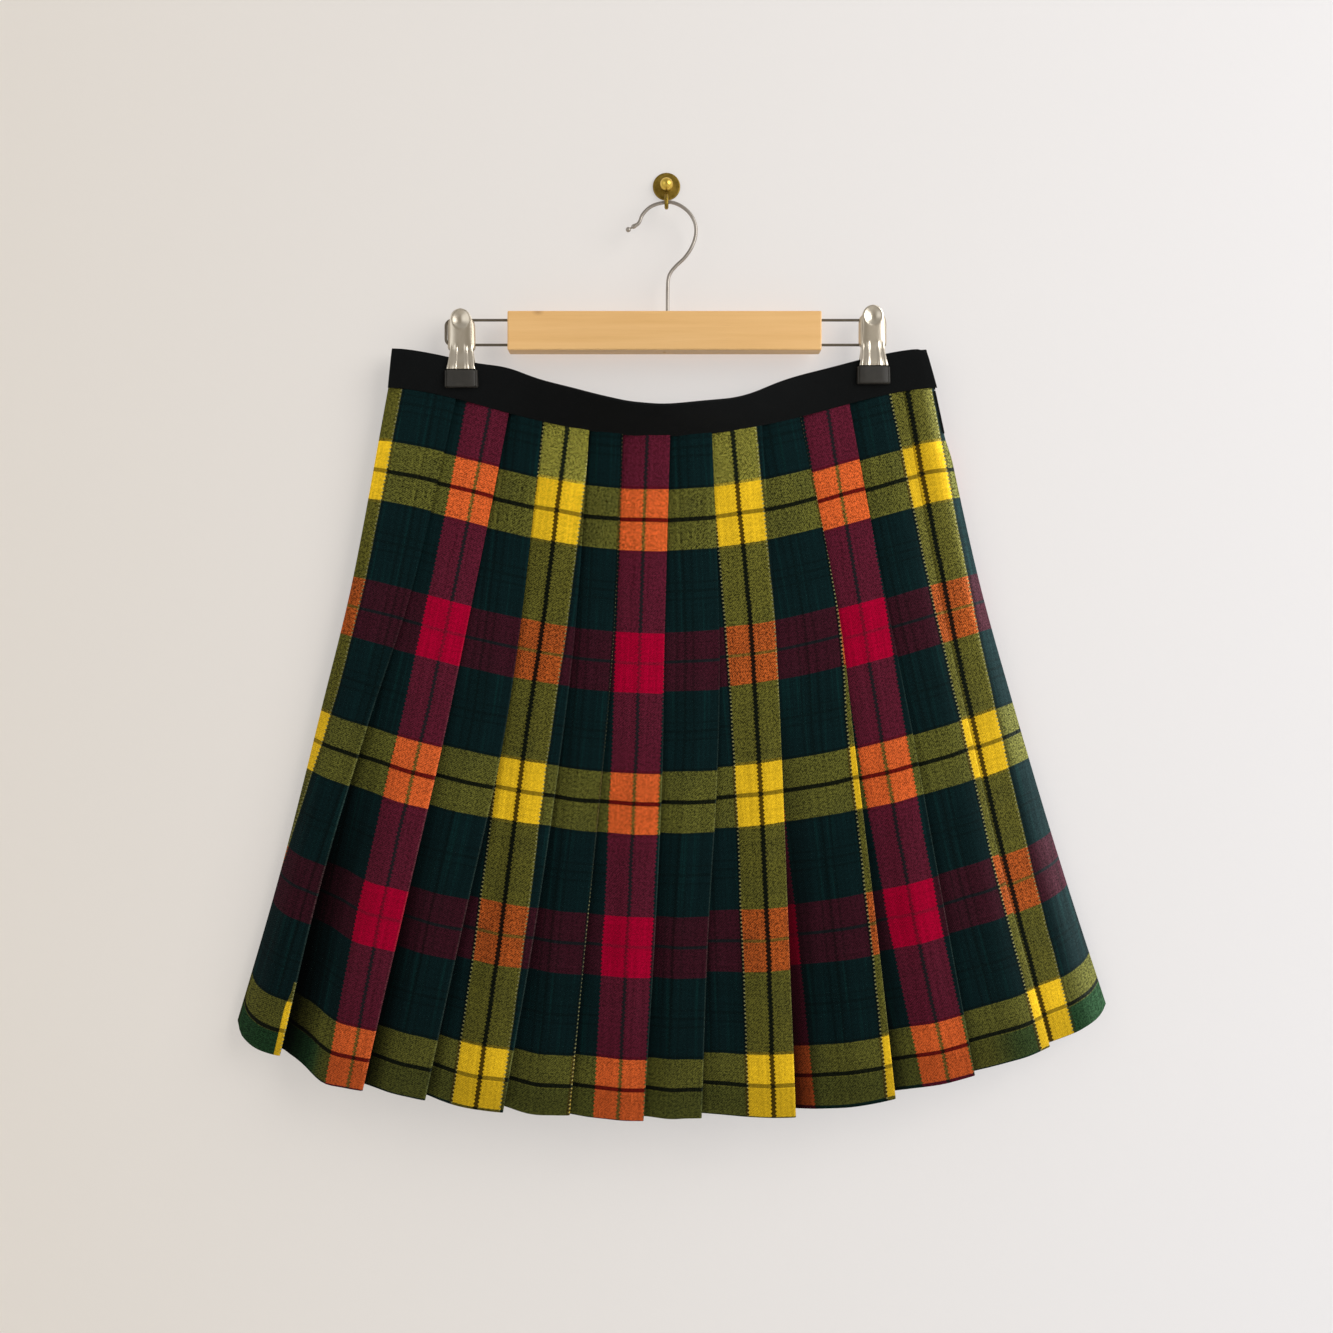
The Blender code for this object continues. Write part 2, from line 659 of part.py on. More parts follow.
def main():
    clear_scene()
    plaid = material("plaid wool", (0.05, 0.13, 0.10), 0.95)
    black = material("black waistband cloth", (0.012, 0.012, 0.014), 0.9)
    wood = material("pale wood", (0.72, 0.46, 0.21), 0.55)
    steel = material("bright steel", (0.75, 0.75, 0.76), 0.2, 1.0)
    rubber = material("dark grey rubber", (0.05, 0.055, 0.055), 0.8)
    brass = material("aged brass", (0.45, 0.30, 0.12), 0.35, 1.0)

    pleated_panel("skirt_front", plaid, FRONT_ROWS, True)
    pleated_panel("skirt_back", plaid, BACK_ROWS, False)
    waistband("waistband_front", black, True)
    waistband("waistband_back", black, False)
    side_tape("side_tape", black)

    hanger_bar(wood)
    bar_rod("bar_rod_left", steel, -1, ROD_END_LEFT)
    bar_rod("bar_rod_right", steel, 1, ROD_END_RIGHT)
    hanger_hook(steel)
    for name, middle_x, lift in CLIP_PLACES:
        for face, side in (("front", 1), ("back", -1)):
            clip_jaw("clip_%s_%s_jaw" % (name, face), steel, middle_x, lift, side)
            clip_pad("clip_%s_%s_pad" % (name, face), rubber, middle_x, lift, side)
        clip_spring("clip_%s_spring" % name, steel, middle_x, lift)

    knob_plate(brass)
    knob_prong(brass)


if __name__ == "__main__":
    main()
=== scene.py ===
"""Looks of a pleated plaid skirt on its clip hanger and wall hook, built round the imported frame.

Metres, +Z up. The wall is the plane y = 0 and everything hangs in front of it, at negative y.
Depths below are distances in front of the wall. A share of the cloth runs from 0 at the waist
seam to 1 at the hem.
"""
import math
from collections import namedtuple

import bmesh
import bpy
from bpy.props import FloatProperty, FloatVectorProperty, IntProperty, PointerProperty
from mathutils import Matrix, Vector, noise


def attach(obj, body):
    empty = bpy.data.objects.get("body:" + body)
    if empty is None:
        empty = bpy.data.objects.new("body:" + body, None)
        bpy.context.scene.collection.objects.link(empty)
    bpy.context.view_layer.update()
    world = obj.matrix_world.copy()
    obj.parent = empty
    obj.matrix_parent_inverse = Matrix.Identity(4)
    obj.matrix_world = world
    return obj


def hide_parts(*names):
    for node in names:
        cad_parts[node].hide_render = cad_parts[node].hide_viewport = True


bl_info = {
    "name": "Pleated plaid skirt",
    "version": (1, 0, 0),
    "blender": (4, 5, 0),
    "location": "3D View > Sidebar > Plaid skirt",
    "description": "Builds the cloth, hanger, clips and wall hook of a pleated plaid skirt",
    "category": "Object",
}

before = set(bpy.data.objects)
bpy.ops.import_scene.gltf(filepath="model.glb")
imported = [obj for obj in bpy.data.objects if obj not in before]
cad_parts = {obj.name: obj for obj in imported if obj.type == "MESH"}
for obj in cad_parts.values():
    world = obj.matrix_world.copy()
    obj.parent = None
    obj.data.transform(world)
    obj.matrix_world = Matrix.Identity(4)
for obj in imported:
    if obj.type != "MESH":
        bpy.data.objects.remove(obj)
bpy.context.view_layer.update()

# Which way a panel, a band or a jaw faces: away from the wall or towards it
FRONT, BACK = 1, -1

# The cloth's form, with the same sizes as the solids
SEAM_GAP = 0.0003
CLOTH_THICK = 0.0010
FOLD_PITCH = 0.00135
PLEAT_DEPTH_WAIST, PLEAT_DEPTH_HEM = 0.015, 0.020
RELEASE = 0.28
MID_PLANE_WAIST, MID_PLANE_HEM = 0.015, 0.009
CLOTH_LENGTH = 0.440
LEVELS = (0.0, 0.3, 0.5, 0.75, 1.0)
QUARTERS = (0.0, 0.25, 0.5, 0.75, 1.0)

# A row for each fold: its distance from the middle at five levels, its lift at the hem, and
# how strong and wide the shade behind it is
Fold = namedtuple("Fold", "name waist hip thigh knee hem lift shade", defaults=(0.0, 0.0))
LEFT_SIDE = Fold("left_side", -0.1850, -0.2090, -0.2300, -0.2570, -0.2870)
RIGHT_SIDE = Fold("right_side", 0.1795, 0.2070, 0.2300, 0.2610, 0.2940)
FRONT_FOLDS = (
    Fold("first", -0.1395, -0.1690, -0.1960, -0.2270, -0.2525, 0.0095, 1.0),
    Fold("second", -0.1043, -0.1290, -0.1460, -0.1700, -0.1950, 0.0060, 0.55),
    Fold("third", -0.0818, -0.0955, -0.1080, -0.1310, -0.1540, 0.0070, 0.17),
    Fold("fourth", -0.0505, -0.0595, -0.0695, -0.0850, -0.1040, 0.0060),
    Fold("fifth", -0.0285, -0.0340, -0.0410, -0.0515, -0.0615, 0.0055),
    Fold("sixth", 0.0025, -0.0010, -0.0025, -0.0075, -0.0145, 0.0050),
    Fold("seventh", 0.0298, 0.0345, 0.0330, 0.0265, 0.0225, 0.0060),
    Fold("eighth", 0.0630, 0.0715, 0.0750, 0.0785, 0.0825, 0.0095, 1.0),
    Fold("ninth", 0.0890, 0.1135, 0.1230, 0.1348, 0.1463, 0.0080, 0.5),
    Fold("tenth", 0.1215, 0.1450, 0.1610, 0.1790, 0.1980, 0.0070, 0.17),
    Fold("eleventh", 0.1570, 0.1795, 0.1975, 0.2212, 0.2495, 0.0020),
)
BACK_FOLDS = [Fold("plain", 0.0, 0.0, 0.0, 0.0, 0.0, 0.0018)] * 11

# Where the stripes lie on each front face: sett is the place in the sett, which has magenta
# at even numbers and yellow at odd ones, and the five lengths are where that place is seen
Stripe = namedtuple("Stripe", "name waist hip thigh knee hem sett")
FRONT_STRIPES = (
    Stripe("yellow at the side", -0.1750, -0.2000, -0.2215, -0.2565, -0.2875, 1.211),
    Stripe("magenta", -0.1170, -0.1420, -0.1602, -0.1842, -0.2052, 0.0),
    Stripe("green", -0.0818, -0.0955, -0.1080, -0.1310, -0.1540, 1.789),
    Stripe("yellow", -0.0650, -0.0813, -0.0933, -0.1065, -0.1218, 1.0),
    Stripe("green", -0.0285, -0.0340, -0.0410, -0.0518, -0.0625, 0.789),
    Stripe("magenta", -0.0126, -0.0170, -0.0200, -0.0252, -0.0310, 0.0),
    Stripe("green", 0.0298, 0.0345, 0.0330, 0.0265, 0.0225, 1.789),
    Stripe("yellow", 0.0429, 0.0548, 0.0600, 0.0648, 0.0685, 1.0),
    Stripe("green", 0.0890, 0.1125, 0.1185, 0.1298, 0.1406, 0.789),
    Stripe("magenta", 0.1066, 0.1276, 0.1406, 0.1588, 0.1810, 0.0),
    Stripe("yellow", 0.1644, 0.1900, 0.2085, 0.2320, 0.2593, 1.0),
    Stripe("yellow at the side", 0.1600, 0.1836, 0.2010, 0.2245, 0.2515, 1.0),
)
HALF_SETT_ACROSS = 0.077
HALF_SETT_DOWN = 0.0909
FIRST_BAND_DOWN = 0.0567
# Half widths of the stitches beside a stripe and of the ground's thin lines, of which the outer
# two lie off the middle one
STITCH_HALF, THIN_LINE_HALF, MIDDLE_LINE_HALF, THIN_LINE_OFF = 0.00045, 0.0007, 0.0009, 0.0055
# How much lower the bands hang at the middle of the cloth's length, and on each front face
BAND_ARC = 0.0018
BandDrop = namedtuple("BandDrop", "face waist hip thigh knee hem")
BAND_DROPS = (
    BandDrop("left of first", -0.0016, -0.0004, 0.0008, 0.0038, 0.0034),
    BandDrop("first", -0.0012, 0.0, 0.0006, 0.0024, -0.0005),
    BandDrop("second", -0.0005, 0.0005, -0.0008, -0.0002, -0.0005),
    BandDrop("third", -0.0018, 0.0, -0.0012, -0.0012, -0.0012),
    BandDrop("fourth", -0.0023, 0.0005, -0.0005, 0.0, 0.0007),
    BandDrop("fifth", -0.0027, 0.0005, 0.0, 0.0005, 0.0),
    BandDrop("sixth", -0.0025, -0.0004, -0.0014, 0.0009, 0.0009),
    BandDrop("seventh", -0.0022, -0.0018, -0.0032, -0.0015, -0.0003),
    BandDrop("eighth", -0.0022, -0.0018, -0.0026, -0.0012, -0.0020),
    BandDrop("ninth", 0.0, 0.0005, -0.0002, 0.0, -0.0018),
    BandDrop("tenth", 0.0005, 0.0020, 0.0012, 0.0006, -0.0007),
    BandDrop("right of eleventh", -0.0010, 0.0018, 0.0022, 0.0036, 0.0003),
)
# The first pleat is turned further over near the hem, which shows a sliver of yellow
SLIVER_WIDTH, SLIVER_FROM, SLIVER_SETT = 0.0043, 0.885, 1.19
# The cloth stands back at the right side, where the tape is
TAPE_NOTCH, TAPE_NOTCH_END = 0.0018, 0.12
# Heights in the bake map: of the outer and the inner side of the cloth, each as its bottom and
# its height, and of the narrow strips for the cloth's side edges, its waist and its hem
BAKE_SIDES = ((0.31, 0.69), (0.0, 0.28))
BAKE_EDGES, BAKE_WAIST, BAKE_HEM, BAKE_STRIP = 0.297, 0.283, 0.288, 0.003

# Height of the waist seam and of the hem
SEAM_END_Z, SEAM_SAG, SEAM_SHAPE = -0.1355, 0.0345, 1.6
BACK_EXTRA_SAG = 0.0035
HEM_MIDDLE_Z = -0.6090
HEM_RISE_LEFT, HEM_SHAPE_LEFT = 0.0465, 2.9
HEM_RISE_RIGHT, HEM_SHAPE_RIGHT = 0.0600, 2.4

# How far the panels stand off the middle plane between them
SAG_HALF = 0.124
STACK_ROOM = 0.00335
BOWS = {FRONT: 0.018, BACK: 0.007}
SWELLS = {FRONT: 0.048, BACK: 0.0048}
SWELL_POWER, SWELL_SHAPE = 4.0, 0.75
SIDE_ROUNDING = 0.016

# Waistband and side tape
BAND_HEIGHT, BAND_THICK = 0.0255, 0.0030
BAND_LEAN = math.radians(56.0)
BAND_END_LEFT, BAND_END_RIGHT = -0.0025, 0.0062
# The band's top edge is higher beside the left clip and lower to the right of the middle: the
# place, the half width and the height of each wave
BAND_WAVES = ((-0.1070, 0.0180, 0.0030), (0.0520, 0.0240, -0.0046))
BAND_CORNER = 0.0030
BAND_PROUD, BAND_ROUND = 0.0009, 0.0009
WEAVE_PITCH = 0.0011
TAPE_FROM, TAPE_TO = 0.006, 0.074
TAPE_WIDTH, TAPE_DEPTH, TAPE_WALL, TAPE_BEND = 0.0013, 0.0060, 0.00045, 0.0004

# Hanger
HANGER_DEPTH = MID_PLANE_WAIST
BAR_MIDDLE_X, BAR_LENGTH = -0.0013, 0.208
BAR_BOTTOM_OF_HOOK = -0.0938
ROD_RADIUS = 0.0009
ROD_UPPER_Z, ROD_LOWER_Z = -0.0905, -0.1070
ROD_IN_BAR = 0.012
ROD_END_LEFT, ROD_END_RIGHT = -0.1470, 0.1455
ROD_CORNER = 0.004
KNOT_X, KNOT_Z, KNOT_RADIUS, KNOT_PULL = -0.0850, -0.0868, 0.0026, 0.0120
WIRE_RADIUS, WIRE_TIP_RADIUS = 0.0012, 0.0017
# How far behind the wire's tip, and how thick as a share of the wire
WIRE_COLLAR = ((0.0003, 0.55), (0.0009, 0.60), (0.0017, 1.15), (0.0028, 1.30), (0.0040, 1.10))
HOOK_ROUTE = (
    (-0.0240, -0.0293), (-0.0187, -0.0260), (-0.0158, -0.0200), (-0.0107, -0.0150),
    (-0.0040, -0.0125), (0.0033, -0.0120), (0.0103, -0.0148), (0.0160, -0.0200),
    (0.0192, -0.0267), (0.0194, -0.0340), (0.0168, -0.0418), (0.0122, -0.0487),
    (0.0060, -0.0547), (0.0024, -0.0594), (0.0010, -0.0645), (0.0007, -0.0740),
)

# Clips
CLIP_PLACES = (("left", -0.1370, -0.0012), ("right", 0.1372, 0.0012))
CLIP_TOP_Z, CLIP_JAW_END_Z, CLIP_PAD_END_Z = -0.0822, -0.1231, -0.1353
JAW_THICK, JAW_PLATE = 0.0009, 0.0006
JAW_UPPER_INSIDE, JAW_LOWER_INSIDE = 0.0022, 0.0059
JAW_BEND_Z = -0.1080
TONGUE_WIDTH, JAW_END_WIDTH = 0.0138, 0.0190
CLIP_LEAN = 0.0012
DISH_RADIUS, DISH_DEPTH = 0.0061, 0.0017
RIBS_FROM_Z = -0.1052
# Pressed ribs of a jaw: place from the middle to the side, half width and height
JAW_RIBS = ((0.42, 0.17, 0.00042), (0.90, 0.13, 0.00026))
EAR_TOP_Z, EAR_END_Z = -0.0888, -0.1100
EAR_ROOT, EAR_REACH, EAR_DEPTH = 0.0064, 0.0093, 0.0026
EAR_WALL = 0.0006
# From this share of its half width on, a jaw is wrapped round to the back
JAW_WRAP = 0.88
PAD_LIP = 0.0013
PAD_WIDTH, PAD_DEPTH, PAD_INSIDE = 0.0220, 0.0046, 0.00345

# Wall hook
PLATE_RADIUS, PLATE_THICK, PLATE_RIM = 0.0093, 0.0020, 0.0008
BALL_RADIUS, BALL_DEPTH = 0.00435, 0.0060
NECK_RADIUS, PRONG_RADIUS = 0.0021, 0.00135
# The prong's line as depths and heights, before it goes round the wire and up to its tip
PRONG_LINE = ((0.0023, -0.0035), (0.0065, -0.0043), (0.0100, -0.0076))
PRONG_TIP_Z, PRONG_CLEAR = -0.0078, 0.0003
KNOB_Z = 0.0033

# The point that the lamps look at
LIT_MIDDLE = Vector((0.0, -0.02, -0.36))

# Soft creases in the faces: the face, where the crease starts and ends across the face and
# down the cloth, its width and its height. A trough has a negative height.
Crease = namedtuple("Crease", "face across_top share_top across_end share_end width height")
FRONT_CREASES = (
    Crease(0, 0.45, 0.42, 0.40, 1.05, 0.0060, 0.0014),
    Crease(0, 0.74, 0.30, 0.70, 0.86, 0.0045, -0.0008),
    Crease(1, 0.22, 0.52, 0.20, 1.10, 0.0085, -0.0028),
    Crease(1, 0.62, 0.45, 0.60, 1.10, 0.0100, 0.0018),
    Crease(2, 0.45, 0.55, 0.40, 1.10, 0.0080, 0.0012),
    Crease(3, 0.30, 0.50, 0.25, 1.08, 0.0065, -0.0012),
    Crease(3, 0.68, 0.38, 0.66, 0.98, 0.0090, 0.0013),
    Crease(4, 0.40, 0.62, 0.38, 1.12, 0.0070, 0.0012),
    Crease(5, 0.34, 0.48, 0.30, 1.04, 0.0060, -0.0011),
    Crease(5, 0.70, 0.58, 0.72, 1.12, 0.0080, 0.0012),
    Crease(6, 0.42, 0.50, 0.36, 1.10, 0.0065, 0.0011),
    Crease(7, 0.30, 0.46, 0.26, 1.06, 0.0085, -0.0014),
    Crease(7, 0.72, 0.40, 0.74, 1.00, 0.0090, 0.0014),
    Crease(8, 0.34, 0.56, 0.30, 1.12, 0.0100, -0.0022),
    Crease(9, 0.30, 0.42, 0.24, 1.08, 0.0070, -0.0013),
    Crease(9, 0.64, 0.52, 0.62, 1.10, 0.0085, 0.0015),
    Crease(10, 0.38, 0.36, 0.40, 0.94, 0.0070, -0.0010),
    Crease(10, 0.66, 0.55, 0.70, 1.12, 0.0080, 0.0013),
    Crease(11, 0.50, 0.45, 0.46, 1.08, 0.0070, 0.0012),
)
BACK_CREASES = (
    Crease(1, 0.35, 0.50, 0.30, 1.08, 0.0080, 0.0012),
    Crease(3, 0.55, 0.42, 0.50, 1.02, 0.0070, 0.0010),
    Crease(4, 0.30, 0.56, 0.34, 1.10, 0.0065, 0.0011),
    Crease(6, 0.48, 0.38, 0.42, 0.96, 0.0075, 0.0010),
    Crease(7, 0.36, 0.60, 0.30, 1.12, 0.0080, 0.0012),
    Crease(9, 0.52, 0.46, 0.56, 1.04, 0.0070, 0.0010),
    Crease(10, 0.34, 0.52, 0.36, 1.10, 0.0085, 0.0013),
)
# How much higher the hem hangs at five places across each front face
HemRise = namedtuple("HemRise", "face start early middle late end")
HEM_RISES = (
    HemRise("left of first", -0.0015, -0.0028, -0.0026, -0.0010, 0.0012),
    HemRise("first", 0.0020, -0.0010, -0.0048, -0.0024, 0.0),
    HemRise("second", 0.0020, 0.0020, 0.0022, 0.0027, 0.0030),
    HemRise("third", 0.0036, 0.0014, 0.0010, 0.0012, 0.0013),
    HemRise("fourth", 0.0028, 0.0008, 0.0002, 0.0010, 0.0018),
    HemRise("fifth", 0.0002, -0.0010, -0.0011, -0.0012, -0.0012),
    HemRise("sixth", -0.0004, -0.0007, -0.0007, 0.0002, 0.0005),
    HemRise("seventh", 0.0012, 0.0001, -0.0007, -0.0013, -0.0016),
    HemRise("eighth", 0.0006, -0.0008, -0.0006, 0.0003, 0.0014),
    HemRise("ninth", 0.0034, 0.0028, 0.0027, 0.0028, 0.0028),
    HemRise("tenth", 0.0026, 0.0018, 0.0012, 0.0007, 0.0006),
    HemRise("right of eleventh", 0.0018, 0.0003, -0.0009, -0.0016, -0.0010),
)


def from_screen(red, green, blue):
    """A colour as it is seen on a screen, from 0 to 255, as the linear one that shaders use."""
    made = []
    for value in (red, green, blue):
        share = value / 255.0
        made.append(share / 12.92 if share <= 0.04045 else ((share + 0.055) / 1.055) ** 2.4)
    return tuple(made)


def place(x, depth, z):
    """A point from its place across, its distance in front of the wall and its height."""
    return Vector((x, -depth, z))


def clamp(value, low=0.0, high=1.0):
    return min(high, max(low, value))


def ease(share):
    share = clamp(share)
    return share * share * (3.0 - 2.0 * share)


def mix(first, second, share):
    return first + (second - first) * share


def smooth_curve(points, steps):
    """A smooth curve through the points, with the given number of steps between them."""
    points = [Vector(point) for point in points]
    padded = [points[0] * 2 - points[1]] + points + [points[-1] * 2 - points[-2]]
    curve = []
    for before, start, end, after in zip(padded, padded[1:], padded[2:], padded[3:]):
        for step in range(steps):
            t = step / steps
            curve.append(0.5 * (2 * start + (end - before) * t
                                + (2 * before - 5 * start + 4 * end - after) * t ** 2
                                + (3 * start - before - 3 * end + after) * t ** 3))
    curve.append(points[-1])
    return curve


def arc(x, y, radius, first, step, count):
    """Points on an arc, from its first angle on and a step apart, both in degrees."""
    turns = [math.radians(first + step * index) for index in range(count)]
    return [(x + radius * math.cos(turn), y + radius * math.sin(turn)) for turn in turns]


def read_levels(row, share, levels=LEVELS):
    """A row's value at a share of the way through its levels, read smoothly."""
    values = row[1:6]
    last = len(levels) - 1
    slopes = []
    for index in range(last + 1):
        low, high = max(0, index - 1), min(last, index + 1)
        slopes.append((values[high] - values[low]) / (levels[high] - levels[low]))
    index = max(i for i in range(last) if levels[i] <= max(share, 0.0))
    width = levels[index + 1] - levels[index]
    t = (share - levels[index]) / width
    start, end = values[index], values[index + 1]
    bend = (start - end) * (2 * t ** 3 - 3 * t ** 2) + start
    return (bend + slopes[index] * width * (t ** 3 - 2 * t ** 2 + t)
            + slopes[index + 1] * width * (t ** 3 - t ** 2))


def sides(share):
    return read_levels(LEFT_SIDE, share), read_levels(RIGHT_SIDE, share)


def across(x, share):
    """Place across the panel, from -1 at the left side to 1 at the right."""
    left, right = sides(share)
    return clamp((2 * x - left - right) / (right - left), -1.0, 1.0)


def sag(x):
    """1 midway between the clips and 0 at the clips and beyond."""
    if abs(x) >= SAG_HALF:
        return 0.0
    return math.cos(math.pi * x / (2 * SAG_HALF)) ** 2


def seam_height(u):
    return SEAM_END_Z - SEAM_SAG * max(0.0, math.cos(math.pi / 2 * u)) ** SEAM_SHAPE


def hem_height(u):
    if u < 0:
        return HEM_MIDDLE_Z + HEM_RISE_LEFT * abs(u) ** HEM_SHAPE_LEFT
    return HEM_MIDDLE_Z + HEM_RISE_RIGHT * u ** HEM_SHAPE_RIGHT


def cloth_height(x, share, side):
    u = across(x, share)
    extra = BACK_EXTRA_SAG * max(0.0, 1 - u * u) * (1 - share) if side == BACK else 0.0
    return mix(seam_height(u) - extra, hem_height(u), share)


def side_rounding(x, share):
    """0 on the panel's side edges, rising to 1 a little way in."""
    left, right = sides(share)
    inward = clamp(min(x - left, right - x) / SIDE_ROUNDING)
    return 1 - (1 - inward) ** 2


def panel_depth(x, share, side):
    """Depth of a panel's outermost layer at the middle of its wall: side is 1 or -1."""
    edge = SEAM_GAP / 2 + CLOTH_THICK / 2
    rounding = side_rounding(x, share)
    waist = edge + (STACK_ROOM - edge) * rounding + BOWS[side] * sag(x)
    bulge = rounding
    if side == FRONT:
        bulge = max(0.0, 1 - abs(across(x, share)) ** SWELL_POWER) ** SWELL_SHAPE
    hem = edge + SWELLS[side] * bulge
    return mix(MID_PLANE_WAIST + side * waist, MID_PLANE_HEM + side * hem, ease(share))


def opening(share):
    """0 where the pleats are stitched flat and 1 at the hem."""
    return ease((share - RELEASE) / (1 - RELEASE))


def crease_height(creases, face, t, share, width):
    """How far the creases of a face lift it at a place across and down it."""
    total = 0.0
    for crease in creases:
        if crease.face != face or not crease.share_top < share < crease.share_end:
            continue
        along = (share - crease.share_top) / (crease.share_end - crease.share_top)
        middle = mix(crease.across_top, crease.across_end, along)
        off = (t - middle) * width / crease.width
        total += crease.height * math.sin(math.pi * min(1.0, along)) ** 0.8 * math.exp(-off * off)
    return total


# One point of a row of folded cloth: its place and height in plan, its place in the sett as
# seen from the cells on its left and right, its painted fold-edge highlight, its painted shade,
# how dull at the hem, lit from the side and open to view it is, how much its bands drop and how
# much its hem rises
Spot = namedtuple("Spot", "x height before after worn shade dull lit seen drop rise")


class PleatedCloth:
    """A panel of knife pleats, as one folded wall with a place in the sett at each corner."""

    def __init__(self, side, face_steps, rows, thick, billow):
        self.side = side
        self.front = side == FRONT
        self.face_steps = face_steps
        self.rows = rows
        self.half = thick / 2
        self.billow = billow
        self.creases = FRONT_CREASES if self.front else BACK_CREASES
        self.folds = FRONT_FOLDS if self.front else BACK_FOLDS
        self.bend = FOLD_PITCH / 2
        self.inset = self.bend + CLOTH_THICK / 2

    def edges(self, share):
        """Where the panel's sides and its folds stand at one level."""
        left, right = sides(share)
        right -= TAPE_NOTCH * (1 - ease((share - TAPE_TO) / (TAPE_NOTCH_END - TAPE_TO)))
        if self.front:
            return [left] + [read_levels(fold, share) for fold in FRONT_FOLDS] + [right]
        count = len(BACK_FOLDS) + 1
        return [mix(-right, -left, index / count) for index in range(count + 1)]

    def sett_on_face(self, face, x, edges, share):
        """Place in the sett at a point of a visible face."""
        if self.front:
            stripe = FRONT_STRIPES[face]
            return stripe.sett + (x - read_levels(stripe, share)) / HALF_SETT_ACROSS
        middle = (edges[face] + edges[face + 1]) / 2
        if face % 2:
            return 0.789 + face // 2 % 2 + (x - edges[face + 1]) / HALF_SETT_ACROSS
        return face // 2 % 2 + (x - middle - 0.004 * share) / HALF_SETT_ACROSS

    def face_height(self, face, x, edges, share):
        """Height of a face, which climbs from below the last fold to the next one."""
        if face == 0:
            return 0.0
        start, end = edges[face], edges[face + 1]
        step = 2 * FOLD_PITCH + self.folds[face - 1].lift * opening(share)
        depth = mix(PLEAT_DEPTH_WAIST, PLEAT_DEPTH_HEM, share)
        flat = clamp((x - start) / max(end - start - depth, 1e-6))
        straight = min(1.0, (x - start) / (end - start))
        climb = mix(straight, ease(straight), 0.55)
        return -step * (1 - mix(flat, climb, opening(share)))

    def dullness(self, face, across_face):
        """How dull and green the cloth is below the last dark line."""
        if not self.front:
            return 0.3
        full = {0: 1.0, 1: 1.0 - ease((across_face - 0.3) / 0.2),
                10: 0.7 * ease((across_face - 0.2) / 0.5), 11: 1.0}
        return full.get(face, 0.15)

    def side_light(self, face, across_face, share):
        """How much the cloth turns to the light at the right side."""
        if not self.front or face < 10:
            return 0.0
        if face == 10:
            return 0.05 * across_face + 0.16 * ease((across_face - 0.6) / 0.4) * ease(share / 0.3)
        return mix(0.05, 0.90, ease((across_face - 0.5) / 0.4))

    def drop(self, face, share):
        """How much lower the bands lie on a face, as a share of the cloth's length."""
        lower = BAND_ARC * math.sin(math.pi * share)
        if self.front:
            lower += read_levels(BAND_DROPS[face], share)
        return lower / CLOTH_LENGTH

    def rise(self, face, across_face):
        """How much higher the hem hangs, most of all at the rounded corners."""
        if not self.front:
            return 0.0
        corner = 0.0
        if face == 0:
            corner = 0.0060 * clamp(1 - across_face / 0.16) ** 2
        elif face == 11:
            corner = 0.0030 * clamp((across_face - 0.80) / 0.20) ** 2
        return read_levels(HEM_RISES[face], across_face, QUARTERS) + corner

    def face_spots(self, face, edges, share):
        """The visible part of one pleat, from under the last fold to its own edge."""
        last = face == len(edges) - 2
        start, end = edges[face], edges[face + 1]
        stop = end if last else end - self.inset
        open_share = opening(share)
        strong = self.folds[face - 1].shade if face else 0.0
        deepest = 0.0045 + 0.0135 * strong
        sliver = 0.0
        if self.front and face == 0:
            sliver = SLIVER_WIDTH * ease((share - SLIVER_FROM) / 0.05)
        spots = []
        for step in range(self.face_steps + 1):
            x = mix(start, stop, step / self.face_steps)
            if self.front and face == 0 and step == self.face_steps - 1:
                x = stop - max(sliver - self.inset, 0.0006)
            inside = (x - start) / (end - start)
            swell = math.sin(math.pi * clamp(inside)) ** 1.3 * open_share
            height = self.face_height(face, x, edges, share)
            height += self.billow * swell * (0.6 + 0.4 * math.sin(face * 2.3 + 1.0))
            fade = clamp(inside / 0.12) * clamp((1 - inside) / 0.12)
            height += fade * crease_height(self.creases, face, inside, share, end - start)
            before = after = self.sett_on_face(face, x, edges, share)
            if sliver and step >= self.face_steps - 1:
                after = SLIVER_SETT + (x - stop) / HALF_SETT_ACROSS
                before = after if step == self.face_steps else before
            near = clamp(1 - (x - start) / deepest) if face else 0.0
            deep = min(1.0, strong * open_share * 1.6)
            shade = mix(0.31, 1.1, deep) * near ** mix(1.4, 0.45, deep)
            shade *= mix(0.45, 1.0, open_share)
            spots.append(Spot(x, height, before, after, 0.0, shade, self.dullness(face, inside),
                              self.side_light(face, inside, share), 1.0, self.drop(face, share),
                              self.rise(face, inside)))
        return spots

